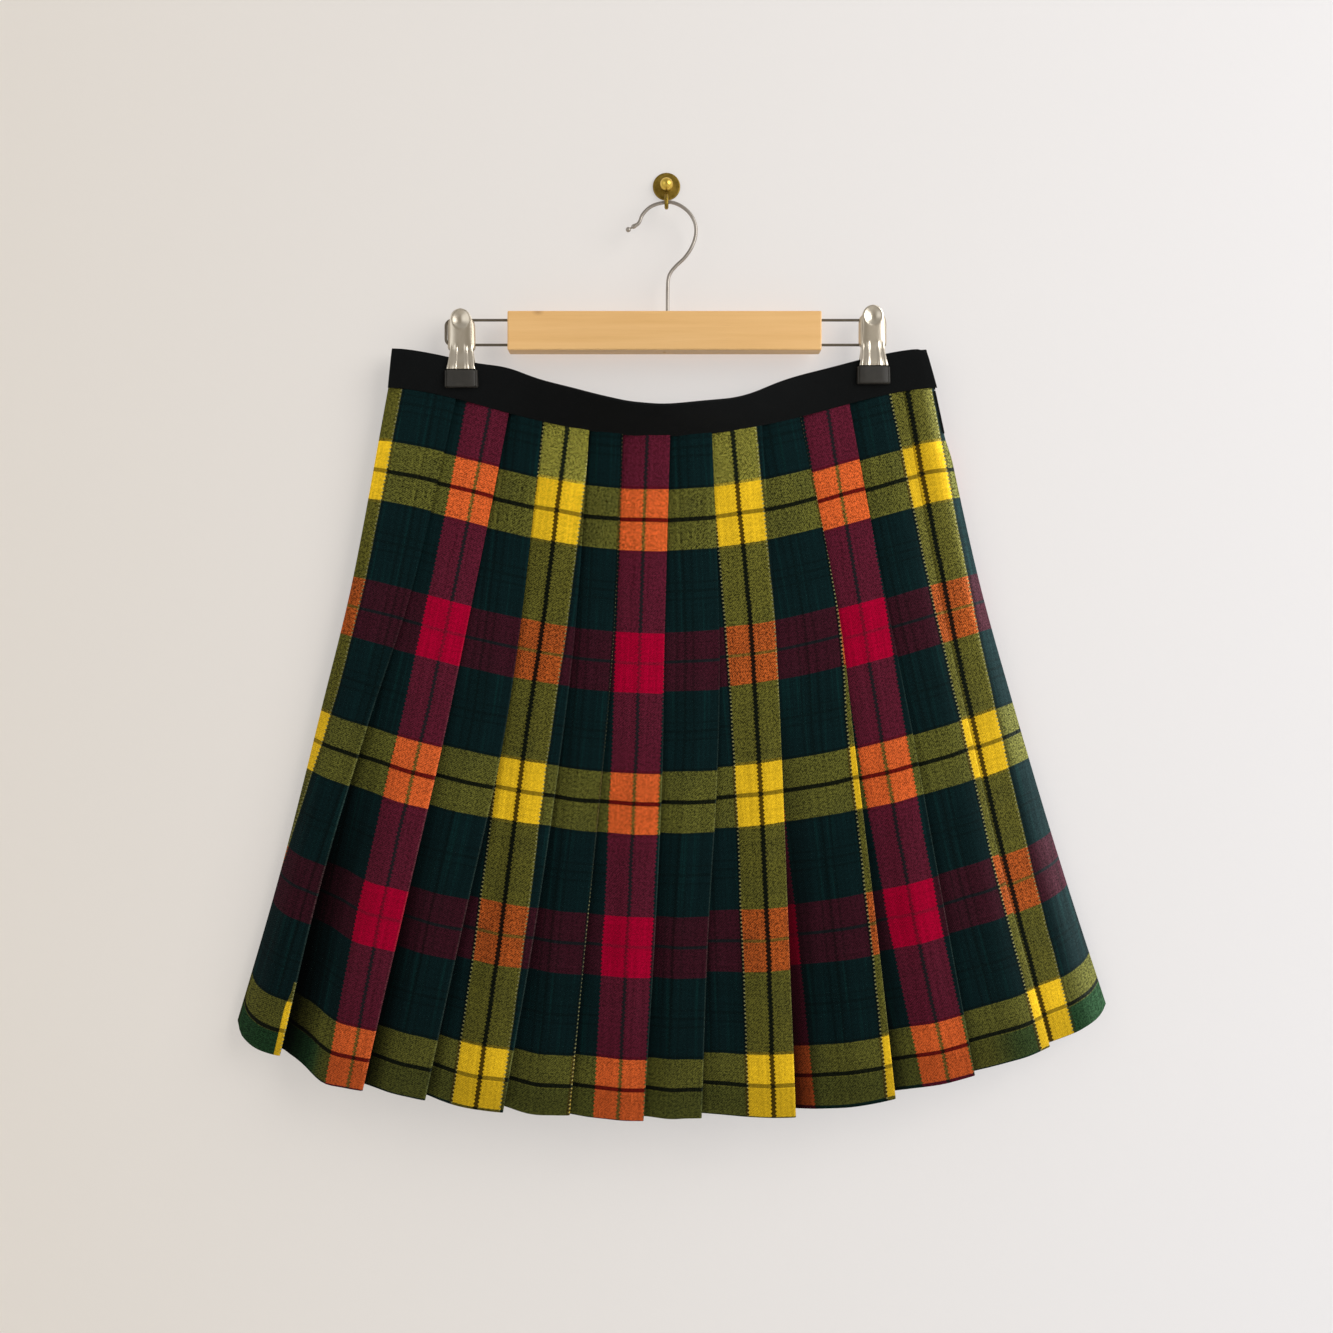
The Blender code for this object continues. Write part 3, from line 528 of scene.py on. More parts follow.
    def fold_under(self, spots, face, edges, share):
        """The hidden part of a pleat: round its edge, back under the face and out again."""
        end = edges[face + 1]
        bend = self.bend
        depth = mix(PLEAT_DEPTH_WAIST, PLEAT_DEPTH_HEM, share)
        outer_x, inner_x = end - self.inset, end - depth + self.inset
        top = spots[-1].height
        low = self.face_height(face, inner_x, edges, share) - FOLD_PITCH
        low -= self.folds[face].lift * opening(share) * (end - inner_x) / depth
        next_height = self.face_height(face + 1, end, edges, share)
        path = arc(outer_x, top - bend, bend, 60, -30, 6)
        turned_under = path[-1][1]
        for step in (1, 2):
            path.append((mix(outer_x, inner_x, step / 3), mix(turned_under, low, step / 3)))
        path += arc(inner_x, low - bend, bend, 90, 30, 7)
        turned_out = path[-1][1]
        for step in (1, 2):
            path.append((mix(inner_x, end, step / 3), mix(turned_out, next_height, step / 3)))
        runs = [0.0]
        corners = [(spots[-1].x, spots[-1].height)] + path + [(end, next_height)]
        for first, second in zip(corners, corners[1:]):
            runs.append(runs[-1] + math.hypot(second[0] - first[0], second[1] - first[1]))
        out_sett = spots[-1].after
        in_sett = self.sett_on_face(face + 1, end, edges, share)
        inner_bend = 6 + 2 + 3
        made = []
        for index, (x, height) in enumerate(path):
            run = runs[index + 1]
            going = out_sett + run / HALF_SETT_ACROSS
            coming = in_sett - (runs[-1] - run) / HALF_SETT_ACROSS
            along = run / runs[-1]
            drop = mix(self.drop(face, share), self.drop(face + 1, share), along)
            rise = mix(self.rise(face, 1.0), self.rise(face + 1, 0.0), along)
            # The painted fold-edge highlight is strongest round the fold's outer bend, and the
            # painted shade deepens under the fold
            made.append(Spot(x, height, going if index <= inner_bend else coming,
                             going if index < inner_bend else coming,
                             (0.6, 1.0, 0.5, 0.0)[min(index, 3)], ease((index - 1) / 3),
                             spots[-1].dull, spots[-1].lit, 1.0 if index < 4 else 0.15,
                             drop, rise))
        return made

    def row(self, share):
        """The folded line of cloth at one level."""
        edges = self.edges(share)
        spots = []
        for face in range(len(edges) - 1):
            spots += self.face_spots(face, edges, share)
            if face < len(edges) - 2:
                spots += self.fold_under(spots, face, edges, share)
        return spots

    def plan(self, spots, share):
        """Outer and inner points of a row, each with the cloth's height there."""
        side = self.side
        line = [Vector((spot.x, side * panel_depth(side * spot.x, share, side) + spot.height))
                for spot in spots]
        outer, inner = [], []
        last = len(line) - 1
        for index, point in enumerate(line):
            into = (point - line[index - 1]).normalized() if index else None
            out_of = (line[index + 1] - point).normalized() if index < last else into
            into = into or out_of
            normal = Vector((-(into.y + out_of.y), into.x + out_of.x)).normalized()
            reach = self.half / max(0.5, normal.dot(Vector((-into.y, into.x))))
            rise = spots[index].rise * share ** 5
            for out, made in ((reach, outer), (-reach, inner)):
                x, depth = side * (point + normal * out)
                made.append(place(x, depth, cloth_height(x, share, side) + rise))
        return outer, inner

    def widths(self, spots):
        """How far across the bake map each point of a row lies, with little for what is hidden."""
        runs = [0.0]
        for before, after in zip(spots, spots[1:]):
            step = math.hypot(after.x - before.x, after.height - before.height)
            runs.append(runs[-1] + step * min(before.seen, after.seen))
        return [run / runs[-1] for run in runs]

    def build(self, name):
        """The panel as a closed mesh with its two maps, its painted fold-edge highlight and its
        painted fold shade.
        """
        shares = [index / (self.rows - 1) for index in range(self.rows)]
        table = [self.row(share) for share in shares]
        columns = len(table[0])
        points = []
        for share, spots in zip(shares, table):
            for side in self.plan(spots, share):
                points.extend(side)
        across_map = self.widths(table[self.rows * 2 // 3])
        faces, cloth_map, bake_map = [], [], []

        def corner(row, side, column, sett, across_bake, down_bake):
            """A face's corner: its point and its place in both maps."""
            spot = table[row][column]
            return ((row * 2 + side) * columns + column,
                    (getattr(spot, sett), shares[row] - spot.drop), (across_bake, down_bake))

        def add(corners, turned_over):
            numbers, settled, baked = zip(*corners[::-1 if turned_over else 1])
            faces.append(numbers)
            cloth_map.extend(settled)
            bake_map.extend(baked)

        for row in range(self.rows - 1):
            for left in range(columns - 1):
                for side, (bottom, tall) in enumerate(BAKE_SIDES):
                    add([corner(at, side, column, sett, across_map[column],
                                bottom + tall * (1 - shares[at]))
                         for at, column, sett in ((row, left, "after"), (row, left + 1, "before"),
                                                  (row + 1, left + 1, "before"),
                                                  (row + 1, left, "after"))], side == 0)
            for column, edge_u in ((0, 0.0), (columns - 1, 0.5)):
                add([corner(at, side, column, "after", edge_u + 0.49 * shares[at],
                            BAKE_EDGES + BAKE_STRIP * side)
                     for at, side in ((row, 0), (row, 1), (row + 1, 1), (row + 1, 0))], column > 0)
        for row, strip in ((0, BAKE_WAIST), (self.rows - 1, BAKE_HEM)):
            for left in range(columns - 1):
                add([corner(row, side, column, sett, across_map[column],
                            strip + BAKE_STRIP * side)
                     for side, column, sett in ((0, left, "after"), (0, left + 1, "before"),
                                                (1, left + 1, "before"), (1, left, "after"))],
                    row > 0)
        mesh = new_mesh(name, points, faces)
        for map_name, values in (("cloth", cloth_map), ("OFBake", bake_map)):
            layer = mesh.uv_layers.new(name=map_name)
            layer.uv.foreach_set("vector", [part for pair in values for part in pair])
        for kind, field in (("fold_wear", "worn"), ("fold_shade", "shade"),
                            ("hem_dull", "dull"), ("side_light", "lit")):
            values = []
            for spots in table:
                values += [getattr(spot, field) for spot in spots] * 2
            mesh.attributes.new(kind, "FLOAT", "POINT").data.foreach_set("value", values)
        return smooth_object(mesh, 50)


def linked(name, data):
    """A new object in the scene."""
    made = bpy.data.objects.new(name, data)
    bpy.context.scene.collection.objects.link(made)
    return made


def new_mesh(name, points, faces):
    mesh = bpy.data.meshes.new(name)
    mesh.from_pydata(points, [], faces)
    return mesh


def smooth_object(mesh, sharp_angle):
    """Puts a mesh into the scene, smooth apart from its sharp edges."""
    mesh.validate()
    builder = bmesh.new()
    builder.from_mesh(mesh)
    bmesh.ops.recalc_face_normals(builder, faces=builder.faces)
    builder.to_mesh(mesh)
    builder.free()
    mesh.shade_smooth()
    mesh.set_sharp_from_angle(angle=math.radians(sharp_angle))
    return linked(mesh.name, mesh)


def ring_faces(rings, first=0):
    """Faces between equal rings of points, which are numbered from the first on."""
    count = len(rings[0])
    faces = []
    for upper in range(first, first + (len(rings) - 1) * count, count):
        for index in range(count):
            right = (index + 1) % count
            faces.append((upper + index, upper + right,
                          upper + count + right, upper + count + index))
    return faces


def lofted(name, rings, sharp_angle=40):
    """A closed mesh through equal rings of points."""
    count = len(rings[0])
    points = [point for ring in rings for point in ring]
    ends = [tuple(range(count)), tuple(range(len(points) - count, len(points)))]
    return smooth_object(new_mesh(name, points, ring_faces(rings) + ends), sharp_angle)


def tube(name, points, radii, count, up=Vector((0, 1, 0))):
    """A round bar along a line, with a radius for each of its points."""
    rings = []
    for index, point in enumerate(points):
        before = points[max(0, index - 1)]
        after = points[min(len(points) - 1, index + 1)]
        along = (after - before).normalized()
        side = along.cross(up).normalized()
        other = side.cross(along)
        rings.append([point + side * x + other * y
                      for x, y in arc(0.0, 0.0, radii[index], 0, 360 / count, count)])
    return lofted(name, rings)


def turned(name, profile, count):
    """A piece turned about the line that points straight out of the wall."""
    return lofted(name, [[place(x, depth, z)
                          for x, z in arc(0.0, KNOB_Z, radius, 0, 360 / count, count)]
                         for radius, depth in profile], 50)


# Materials


class Value:
    """A number that varies over a surface. Arithmetic on it adds Math nodes."""

    def __init__(self, nodes, socket):
        self.nodes = nodes
        self.socket = socket

    def __add__(self, other):
        return self.nodes.math("ADD", self, other)

    def __sub__(self, other):
        return self.nodes.math("SUBTRACT", self, other)

    def __rsub__(self, other):
        return self.nodes.math("SUBTRACT", other, self)

    def __mul__(self, other):
        return self.nodes.math("MULTIPLY", self, other)

    def __abs__(self):
        return self.nodes.math("ABSOLUTE", self)

    __radd__ = __add__
    __rmul__ = __mul__

    def clamped(self):
        return self.nodes.math("ADD", self, 0.0, clamp_it=True)

    def above(self, limit, gain):
        """How far the number is above a limit, times a gain and kept from 0 to 1."""
        return ((self - limit) * gain).clamped()

    def wrapped(self, low, high):
        return self.nodes.math("WRAP", self, high, low)

    def sine(self):
        return self.nodes.math("SINE", self)


def highest(first, second):
    return first.nodes.math("MAXIMUM", first, second)


class Nodes:
    """The nodes of a material or of the surroundings."""

    def __init__(self, tree):
        self.tree = tree

    def node(self, kind, settings=None, sockets=None):
        """Adds a node, with its settings first and then its sockets' values or links."""
        made = self.tree.nodes.new(kind)
        for name, value in (settings or {}).items():
            if name == "stops":
                ramp = made.color_ramp
                while len(ramp.elements) < len(value):
                    ramp.elements.new(1.0)
                for element, (position, colour) in zip(ramp.elements, value):
                    element.position = position
                    element.color = (*colour, 1.0)
            else:
                setattr(made, name, value)
        for name, value in (sockets or {}).items():
            self.feed(made.inputs[name], value)
        return made

    def feed(self, socket, value):
        if isinstance(value, Value):
            value = value.socket
        if isinstance(value, bpy.types.NodeSocket):
            self.tree.links.new(value, socket)
        elif socket.type == "RGBA" and len(value) == 3:
            socket.default_value = (*value, 1.0)
        else:
            socket.default_value = value

    def math(self, operation, *values, clamp_it=False):
        made = self.node("ShaderNodeMath", {"operation": operation, "use_clamp": clamp_it},
                         dict(enumerate(values)))
        return Value(self, made.outputs[0])

    def mix(self, first, second, factor, blend="MIX"):
        """A colour between two others."""
        made = self.node("ShaderNodeMix", {"data_type": "RGBA", "blend_type": blend},
                         {0: factor, 6: first, 7: second})
        return made.outputs[2]

    def attribute(self, name):
        made = self.node("ShaderNodeAttribute", {"attribute_name": name})
        return Value(self, made.outputs["Fac"])

    def map_place(self, name):
        return self.node("ShaderNodeUVMap", {"uv_map": name}).outputs[0]

    def object_place(self):
        return self.node("ShaderNodeTexCoord").outputs["Object"]

    def apart(self, vector):
        """The three numbers of a vector."""
        made = self.node("ShaderNodeSeparateXYZ", None, {0: vector})
        return [Value(self, socket) for socket in made.outputs]

    def vector(self, x, y, z=0.0):
        return self.node("ShaderNodeCombineXYZ", None, {0: x, 1: y, 2: z}).outputs[0]

    def scaled(self, vector, scale):
        made = self.node("ShaderNodeVectorMath", {"operation": "MULTIPLY"},
                         {0: vector, 1: scale})
        return made.outputs[0]

    def noise(self, vector, scale, detail=2.0, roughness=0.5):
        made = self.node("ShaderNodeTexNoise", None,
                         {"Vector": vector, "Scale": scale, "Detail": detail,
                          "Roughness": roughness})
        return Value(self, made.outputs["Fac"])


class Finish(Nodes):
    """A material, with its shader and the nodes that feed it."""

    def __init__(self, name, **constants):
        self.material = bpy.data.materials.new(name)
        self.material.use_nodes = True
        super().__init__(self.material.node_tree)
        self.shader = self.tree.nodes["Principled BSDF"]
        self.set(**constants)

    def set(self, **sockets):
        for name, value in sockets.items():
            self.feed(self.shader.inputs[name.replace("_", " ")], value)

    def patchy(self, first, second, patches, limit, gain, smooth, rough):
        """Two colours in patches, and a roughness that follows them."""
        self.set(Base_Color=self.mix(first, second, patches.above(limit, gain)),
                 Roughness=patches * rough + smooth)

    def bump(self, height, strength, distance):
        made = self.node("ShaderNodeBump", None,
                         {"Height": height, "Strength": strength, "Distance": distance})
        self.set(Normal=made.outputs[0])

    def put_on(self, piece):
        piece.data.materials.clear()
        piece.data.materials.append(self.material)


def sett_masks(place_in_sett, half_sett, sizes):
    """Masks along one direction of the sett: stripes, their middle lines and the thin lines."""
    wrapped = (place_in_sett + 1.0).wrapped(0.0, 2.0)
    from_magenta = abs(wrapped - 1.0)
    from_yellow = 1.0 - from_magenta
    off_middle = abs(from_magenta - 0.5)

    def within(distance, limit):
        return ((limit / half_sett - distance) * (half_sett / sizes.edge_width) + 0.5).clamped()

    half = sizes.stripe_width / 2 * (half_sett / HALF_SETT_ACROSS) ** 1.25
    line_half = sizes.line_width / 2 * (HALF_SETT_ACROSS / half_sett) ** 0.6
    guard_half = sizes.guard_width / 2
    guard = within(abs(from_yellow - (half + guard_half) / half_sett), guard_half)
    return {
        "magenta": within(from_magenta, half),
        "yellow": within(from_yellow, half),
        "magenta_line": within(from_magenta, line_half * 0.72),
        "yellow_line": within(from_yellow, line_half),
        "guard": guard * (wrapped.above(1.0, 50.0) * 0.55 + 0.40),
        "stitch": within(abs(from_yellow - half / half_sett), STITCH_HALF),
        "ground_lines": within(abs(off_middle - THIN_LINE_OFF / half_sett), THIN_LINE_HALF),
        "ground_middle": within(off_middle, MIDDLE_LINE_HALF),
    }


def plaid_wool(name, colours, sizes):
    """Twill wool, with its sett from the cloth's own map."""
    finish = Finish(name, Roughness=0.92, Specular_IOR_Level=0.05, Sheen_Weight=0.015,
                    Sheen_Roughness=0.45, Sheen_Tint=(0.85, 0.95, 0.90))
    sett, share, _ = finish.apart(finish.map_place("cloth"))
    across_length = sett * HALF_SETT_ACROSS
    down_length = share * CLOTH_LENGTH
    cloth_place = finish.vector(across_length, down_length)
    drift = finish.noise(cloth_place, 28.0, 1.0) - 0.5
    step_in = (down_length * (2 * math.pi / sizes.step_pitch)).sine()
    sett_across = sett + drift * (0.0014 / HALF_SETT_ACROSS) + step_in * 0.0058
    sett_down = (down_length - FIRST_BAND_DOWN + drift * 0.0016) * (1 / HALF_SETT_DOWN) + 1.0
    warp = sett_masks(sett_across, HALF_SETT_ACROSS, sizes)
    weft = sett_masks(sett_down, HALF_SETT_DOWN, sizes)

    # The line in a magenta stripe is thread of the ground's green
    warp_line = 0.85 - weft["magenta"] * 0.35
    warp_magenta = warp["magenta"] * (1.0 - warp["magenta_line"] * warp_line)
    weft_line = 0.80 - warp["magenta"] * 0.45 - warp["yellow"] * 0.05
    weft_magenta = weft["magenta"] * (1.0 - weft["magenta_line"] * weft_line)

    def crossed(plain, over_magenta, over_yellow):
        """A band's colour by itself and where it crosses the magenta and yellow stripes."""
        return finish.mix(finish.mix(plain, over_magenta, warp_magenta), over_yellow,
                          warp["yellow"])

    on_green = crossed(colours.green, colours.plum_down, colours.olive)
    on_magenta = crossed(colours.plum_across, colours.crimson, colours.rust)
    on_yellow = crossed(colours.olive_across, colours.orange, colours.yellow)
    colour = finish.mix(finish.mix(on_green, on_magenta, weft_magenta), on_yellow, weft["yellow"])

    # The twill's slanting lines show most where the two threads differ
    slant = (across_length + down_length) * (2 * math.pi / sizes.twill_pitch)
    thread_noise = finish.noise(cloth_place, 1150.0, 1.0, 0.6)
    coarse_noise = finish.noise(cloth_place, 640.0, 0.0)
    twill = (slant.sine() * 0.25 + (thread_noise - 0.5) * 3.0 + (coarse_noise - 0.5) * 1.3
             + 0.5).clamped()
    mixed = highest(abs(warp["yellow"] - weft["yellow"]), abs(warp_magenta - weft_magenta) * 0.5)
    mixed = mixed * (1.0 - warp_magenta * weft["yellow"] * 0.5)
    patches = finish.noise(cloth_place, 34.0, 2.0)
    colour = finish.mix(colour, colours.green, patches.above(0.48, 2.5) * mixed * 0.30)
    colour = finish.mix(colour, colours.green, (0.5 - twill).clamped() * mixed * 0.5)

    # Lighter and darker threads that run the length of the cloth, and its nap
    streak = finish.noise(finish.vector(across_length * 420.0, down_length * 9.0), 1.0, 2.0)
    cross_streak = finish.noise(finish.vector(across_length * 9.0, down_length * 380.0), 1.0, 2.0)
    nap = finish.noise(cloth_place, 60.0, 3.0, 0.6)
    ground = (1.0 - warp["magenta"] - warp["yellow"]) * (1.0 - weft["magenta"] - weft["yellow"])
    colour = finish.mix(colour, colours.teal, streak.above(0.55, 5.0) * ground * 0.35)

    # Below the last dark line the cloth is duller, and green at both sides
    line_down = FIRST_BAND_DOWN + 4 * HALF_SETT_DOWN + sizes.line_width / 2
    below = down_length.above(line_down, 1 / sizes.edge_width)
    dull_green = below * finish.attribute("hem_dull") * (1.0 - warp["yellow"] - warp_magenta)
    colour = finish.mix(colour, colours.hem_green, dull_green * 0.9)

    # Painted light: the yellow is lighter at the top, most of all at the left. The yellow is
    # darker at the upper right, and the whole cloth is lighter towards the top and darker towards
    # the hem
    from_middle = finish.apart(finish.object_place())[0]
    top = ((0.16 - share) * 30.0).clamped() * ((0.115 - abs(from_middle)) * 40.0).clamped()
    painted_top_light = warp["yellow"] * (1.0 - weft["yellow"]) * top * (1.05 - from_middle * 6.0)
    dim = ((from_middle + 0.05) * 4.5).clamped() * (0.36 - share * 0.35)
    level = ((streak - 0.5) * 0.70 + (cross_streak - 0.5) * 0.35 + (nap - 0.5) * 0.30
             + (twill - 0.5) * (mixed * (1.15 - share * 0.5) * sizes.speckle + 0.40) + 1.0)
    level = level * (1.0 - below * 0.22) * (1.16 - share * 0.26) * (painted_top_light + 1.0)
    level = level * (1.0 - warp["yellow"] * weft["yellow"] * dim)

    # Black threads: where they cross a stripe, its colour shows between them
    grounds = 1.0 - highest(warp["magenta"], warp["yellow"])
    faint = highest(warp["ground_lines"] * 0.30, warp["ground_middle"] * 0.45)
    faint_weft = highest(weft["ground_lines"] * 0.28, weft["ground_middle"] * 0.36)
    faint = highest(faint, faint_weft * grounds)
    colour = finish.mix(colour, colours.dark_line, faint * (1.0 - weft["yellow"] * 0.6))
    weft_dark = highest(weft["yellow_line"] * 0.95, weft["guard"] * 0.45)
    weft_black = crossed(colours.dark_line, colours.line_on_magenta, colours.line_on_yellow)
    colour = finish.mix(colour, weft_black, weft_dark)
    teeth = (step_in * 1.6 + 0.2).clamped()
    warp_dark = highest(warp["yellow_line"], warp["guard"] * (1.0 - teeth * 0.4)) * 0.96
    warp_black = finish.mix(colours.dark_line, colours.line_over_yellow,
                            weft["yellow"] * (1.0 - weft_dark))
    colour = finish.mix(colour, warp_black, warp_dark)
    colour = finish.mix(colour, colours.stitch, warp["stitch"] * teeth * 0.5)

    # Painted highlights on the fold edges, and the painted shade behind them
    highlit_colour = finish.mix(finish.scaled(colour, (2.3, 2.3, 2.3)), colours.worn_edge, 0.35)
    worn = finish.attribute("fold_wear") * share.above(0.25, 3.0)
    colour = finish.mix(colour, highlit_colour, worn * (thread_noise * 0.5 + 0.05))
    level = level * (1.0 - finish.attribute("fold_shade") * sizes.fold_shade)

    # The fibres catch the light on the face that turns to the right side
    bright = finish.mix(finish.scaled(colour, (3.2, 3.2, 3.2)), colours.side_light, 0.12)
    colour = finish.mix(colour, bright, finish.attribute("side_light"))
    finish.set(Base_Color=finish.mix(colour, finish.vector(level, level, level), 1.0, "MULTIPLY"))
    finish.set(Roughness=0.86 + nap * 0.12)
    finish.bump(slant.sine() * 0.35 + thread_noise * 0.6 + nap * 0.5, 0.30, 0.0005)
    return finish


def black_cloth(name, colours):
    """Plain black band cloth, closely woven, with a little lint."""
    finish = Finish(name, Specular_IOR_Level=0.10, Sheen_Weight=0.05, Sheen_Roughness=0.5)
    at = finish.object_place()
    x, _, z = finish.apart(at)
    weave = ((x + z) * (2 * math.pi / WEAVE_PITCH)).sine()
    finish.patchy(colours.band, colours.band_light, finish.noise(at, 55.0, 4.0, 0.7),
                  0.42, 1.6, 0.78, 0.2)
    finish.bump(weave * 0.3 + finish.noise(at, 900.0, 1.0) * 0.7, 0.3, 0.0004)
    return finish


def pale_wood(name, colours):
    """Satin beech with fine long grain and one small knot by the left end of the bar."""
    finish = Finish(name, Coat_Weight=0.12, Coat_Roughness=0.35)
    at = finish.object_place()
    x, _, z = finish.apart(at)
    off_x, off_z = x - KNOT_X, z - KNOT_Z
    from_knot = finish.math("SQRT", off_x * off_x * 0.35 + off_z * off_z)
    knot = (1.0 - from_knot * (1 / KNOT_RADIUS)).clamped()
    pull = (1.0 - from_knot * (1 / KNOT_PULL)).clamped()
    slow = finish.noise(finish.scaled(at, (7.0, 60.0, 60.0)), 1.0, 2.0)
    rings = finish.noise(finish.scaled(at, (9.0, 240.0, 240.0)), 1.0, 3.0, 0.55)
    pores = finish.noise(finish.scaled(at, (60.0, 1500.0, 1500.0)), 1.0, 2.0, 0.6)
    figure = ((rings - 0.5) * (1.2 + pull * 1.6) + (slow - 0.5) * 0.9 + 0.5).clamped()
    colour = finish.mix(colours.wood_light, colours.wood_dark, figure)
    colour = finish.mix(colour, colours.wood_pore, pores.above(0.58, 2.2) * 0.35)
    colour = finish.mix(colour, colours.wood_knot, knot * 0.55)
    finish.set(Base_Color=colour, Roughness=0.40 + figure * 0.16)
    finish.bump(pores * 0.6 + rings * 0.3, 0.12, 0.0003)
    return finish


def steel_finish(name, light, dark, roughness):
    """Steel with fine drawing lines and faint smudges."""
    finish = Finish(name, Metallic=1.0)
    at = finish.object_place()
    finish.patchy(light, dark, finish.noise(at, 120.0, 3.0), 0.45, 1.4, roughness, 0.12)
    lines = finish.scaled(at, (1800.0, 1800.0, 40.0))
    finish.bump(finish.noise(lines, 1.0, 1.0), 0.08, 0.0001)
    return finish


def dark_rubber(name, colours):
    """Moulded rubber with a dusty bloom."""
    finish = Finish(name, Specular_IOR_Level=0.40)
    at = finish.object_place()
    finish.patchy(colours.rubber, colours.rubber_dust, finish.noise(at, 220.0, 3.0, 0.65),
                  0.40, 1.5, 0.42, 0.25)
    finish.bump(finish.noise(at, 1600.0, 1.0), 0.15, 0.0002)
    return finish


def aged_brass(name, colours):
    """Brass that is brown and dull on the plate and rubbed bright on the ball."""
    finish = Finish(name, Metallic=1.0)
    at = finish.object_place()
    _, y, z = finish.apart(at)
    bright = ((0.0 - y - 0.0034) * 900.0).clamped() * (
        (z - KNOB_Z + BALL_RADIUS) * 3000.0 + 0.5).clamped()
    patches = finish.noise(at, 420.0, 4.0, 0.6)
    fine = finish.noise(at, 2600.0, 2.0)
    aged = finish.mix(colours.brass_brown, colours.brass_dull, patches.above(0.35, 2.2))
    colour = finish.mix(aged, colours.brass_bright, (bright * 0.90 + patches * 0.10).clamped())
    finish.set(Base_Color=colour,
               Roughness=(0.50 - bright * 0.14 + (patches - 0.5) * 0.16).clamped())
    finish.bump(patches * 0.5 + fine * 0.5, 0.10, 0.0002)
    return finish


def plain_surface(name, colour, darker, scale, detail, **constants):
    """A pale surface with large soft clouds that are a little darker."""
    finish = Finish(name, **constants)
    clouds = finish.noise(finish.object_place(), scale, detail)
    finish.set(Base_Color=finish.mix(colour, [value * darker for value in colour], clouds))
    return finish


def plain_wall(name, colours):
    """Pale plaster that can be seen only from its front, so that the back stays in view.

    Half of its light is its own, which keeps the shadows on it as faint as in the photo.
    """
    finish = plain_surface(name, colours.wall, 0.965, 2.2, 3.0, Roughness=0.95,
                           Specular_IOR_Level=0.1, Emission_Strength=1.0)
    at = finish.object_place()
    to_right = (finish.apart(at)[0] * 1.1 + 0.5).clamped()
    finish.set(Emission_Color=finish.mix(colours.wall_glow_left, colours.wall_glow_right,
                                         to_right))
    finish.bump(finish.noise(at, 130.0, 4.0, 0.65), 0.10, 0.0006)
    behind = finish.node("ShaderNodeNewGeometry").outputs["Backfacing"]
    clear = finish.node("ShaderNodeBsdfTransparent").outputs[0]
    shown = finish.node("ShaderNodeMixShader", None,
                        {0: behind, 1: finish.shader.outputs[0], 2: clear})
    finish.feed(finish.tree.nodes["Material Output"].inputs["Surface"], shown.outputs[0])
    return finish


def length(name, text, value):
    """A length that a user may change."""
    return FloatProperty(name=name, description=text, default=value, min=0.0, unit="LENGTH",
                         precision=5)


def share_of(name, text, value):
    return FloatProperty(name=name, description=text, default=value, min=0.0, max=1.0,
                         subtype="FACTOR")


def colour_of(name, text, *screen):
    """A colour that a user may change, given as it is seen on a screen."""
    return FloatVectorProperty(name=name.replace("_", " ").capitalize(), description=text,
                               default=from_screen(*screen), min=0.0, max=1.0, size=3,
                               subtype="COLOR")


class PlaidSkirtSizes(bpy.types.PropertyGroup):
    """Sizes of the skirt's looks"""
    cloth_thickness: length("Cloth thickness", "Thickness of the wool twill", 0.0008)
    billow: length("Pleat billow", "How far a pleat bulges at the hem", 0.0013)
    front_steps: IntProperty(name="Front steps", default=14, min=4,
                             description="Mesh steps across each pleat of the front")
    back_steps: IntProperty(name="Back steps", default=8, min=4,
                            description="Mesh steps across each pleat of the back")
    stripe_width: length("Stripe width", "Width of the stripes that run down", 0.0315)
    line_width: length("Line width", "Width of the dark line in a stripe's middle", 0.0030)
    guard_width: length("Guard width", "Width of the dark lines beside the yellow", 0.0018)
    edge_width: length("Edge width", "Over how much a stripe's edge is soft", 0.0005)
    twill_pitch: length("Twill pitch", "Distance between the twill's slanting lines", 0.0016)
    step_pitch: length("Step pitch", "Distance between the steps in a stripe's edge", 0.0026)
    speckle: share_of("Speckle", "How much the two threads show apart", 0.88)
    fold_shade: share_of("Fold shade", "How dark the cloth is behind a fold", 0.85)
    band_lip: length("Band lip", "How far the waistband reaches over the cloth", 0.0010)


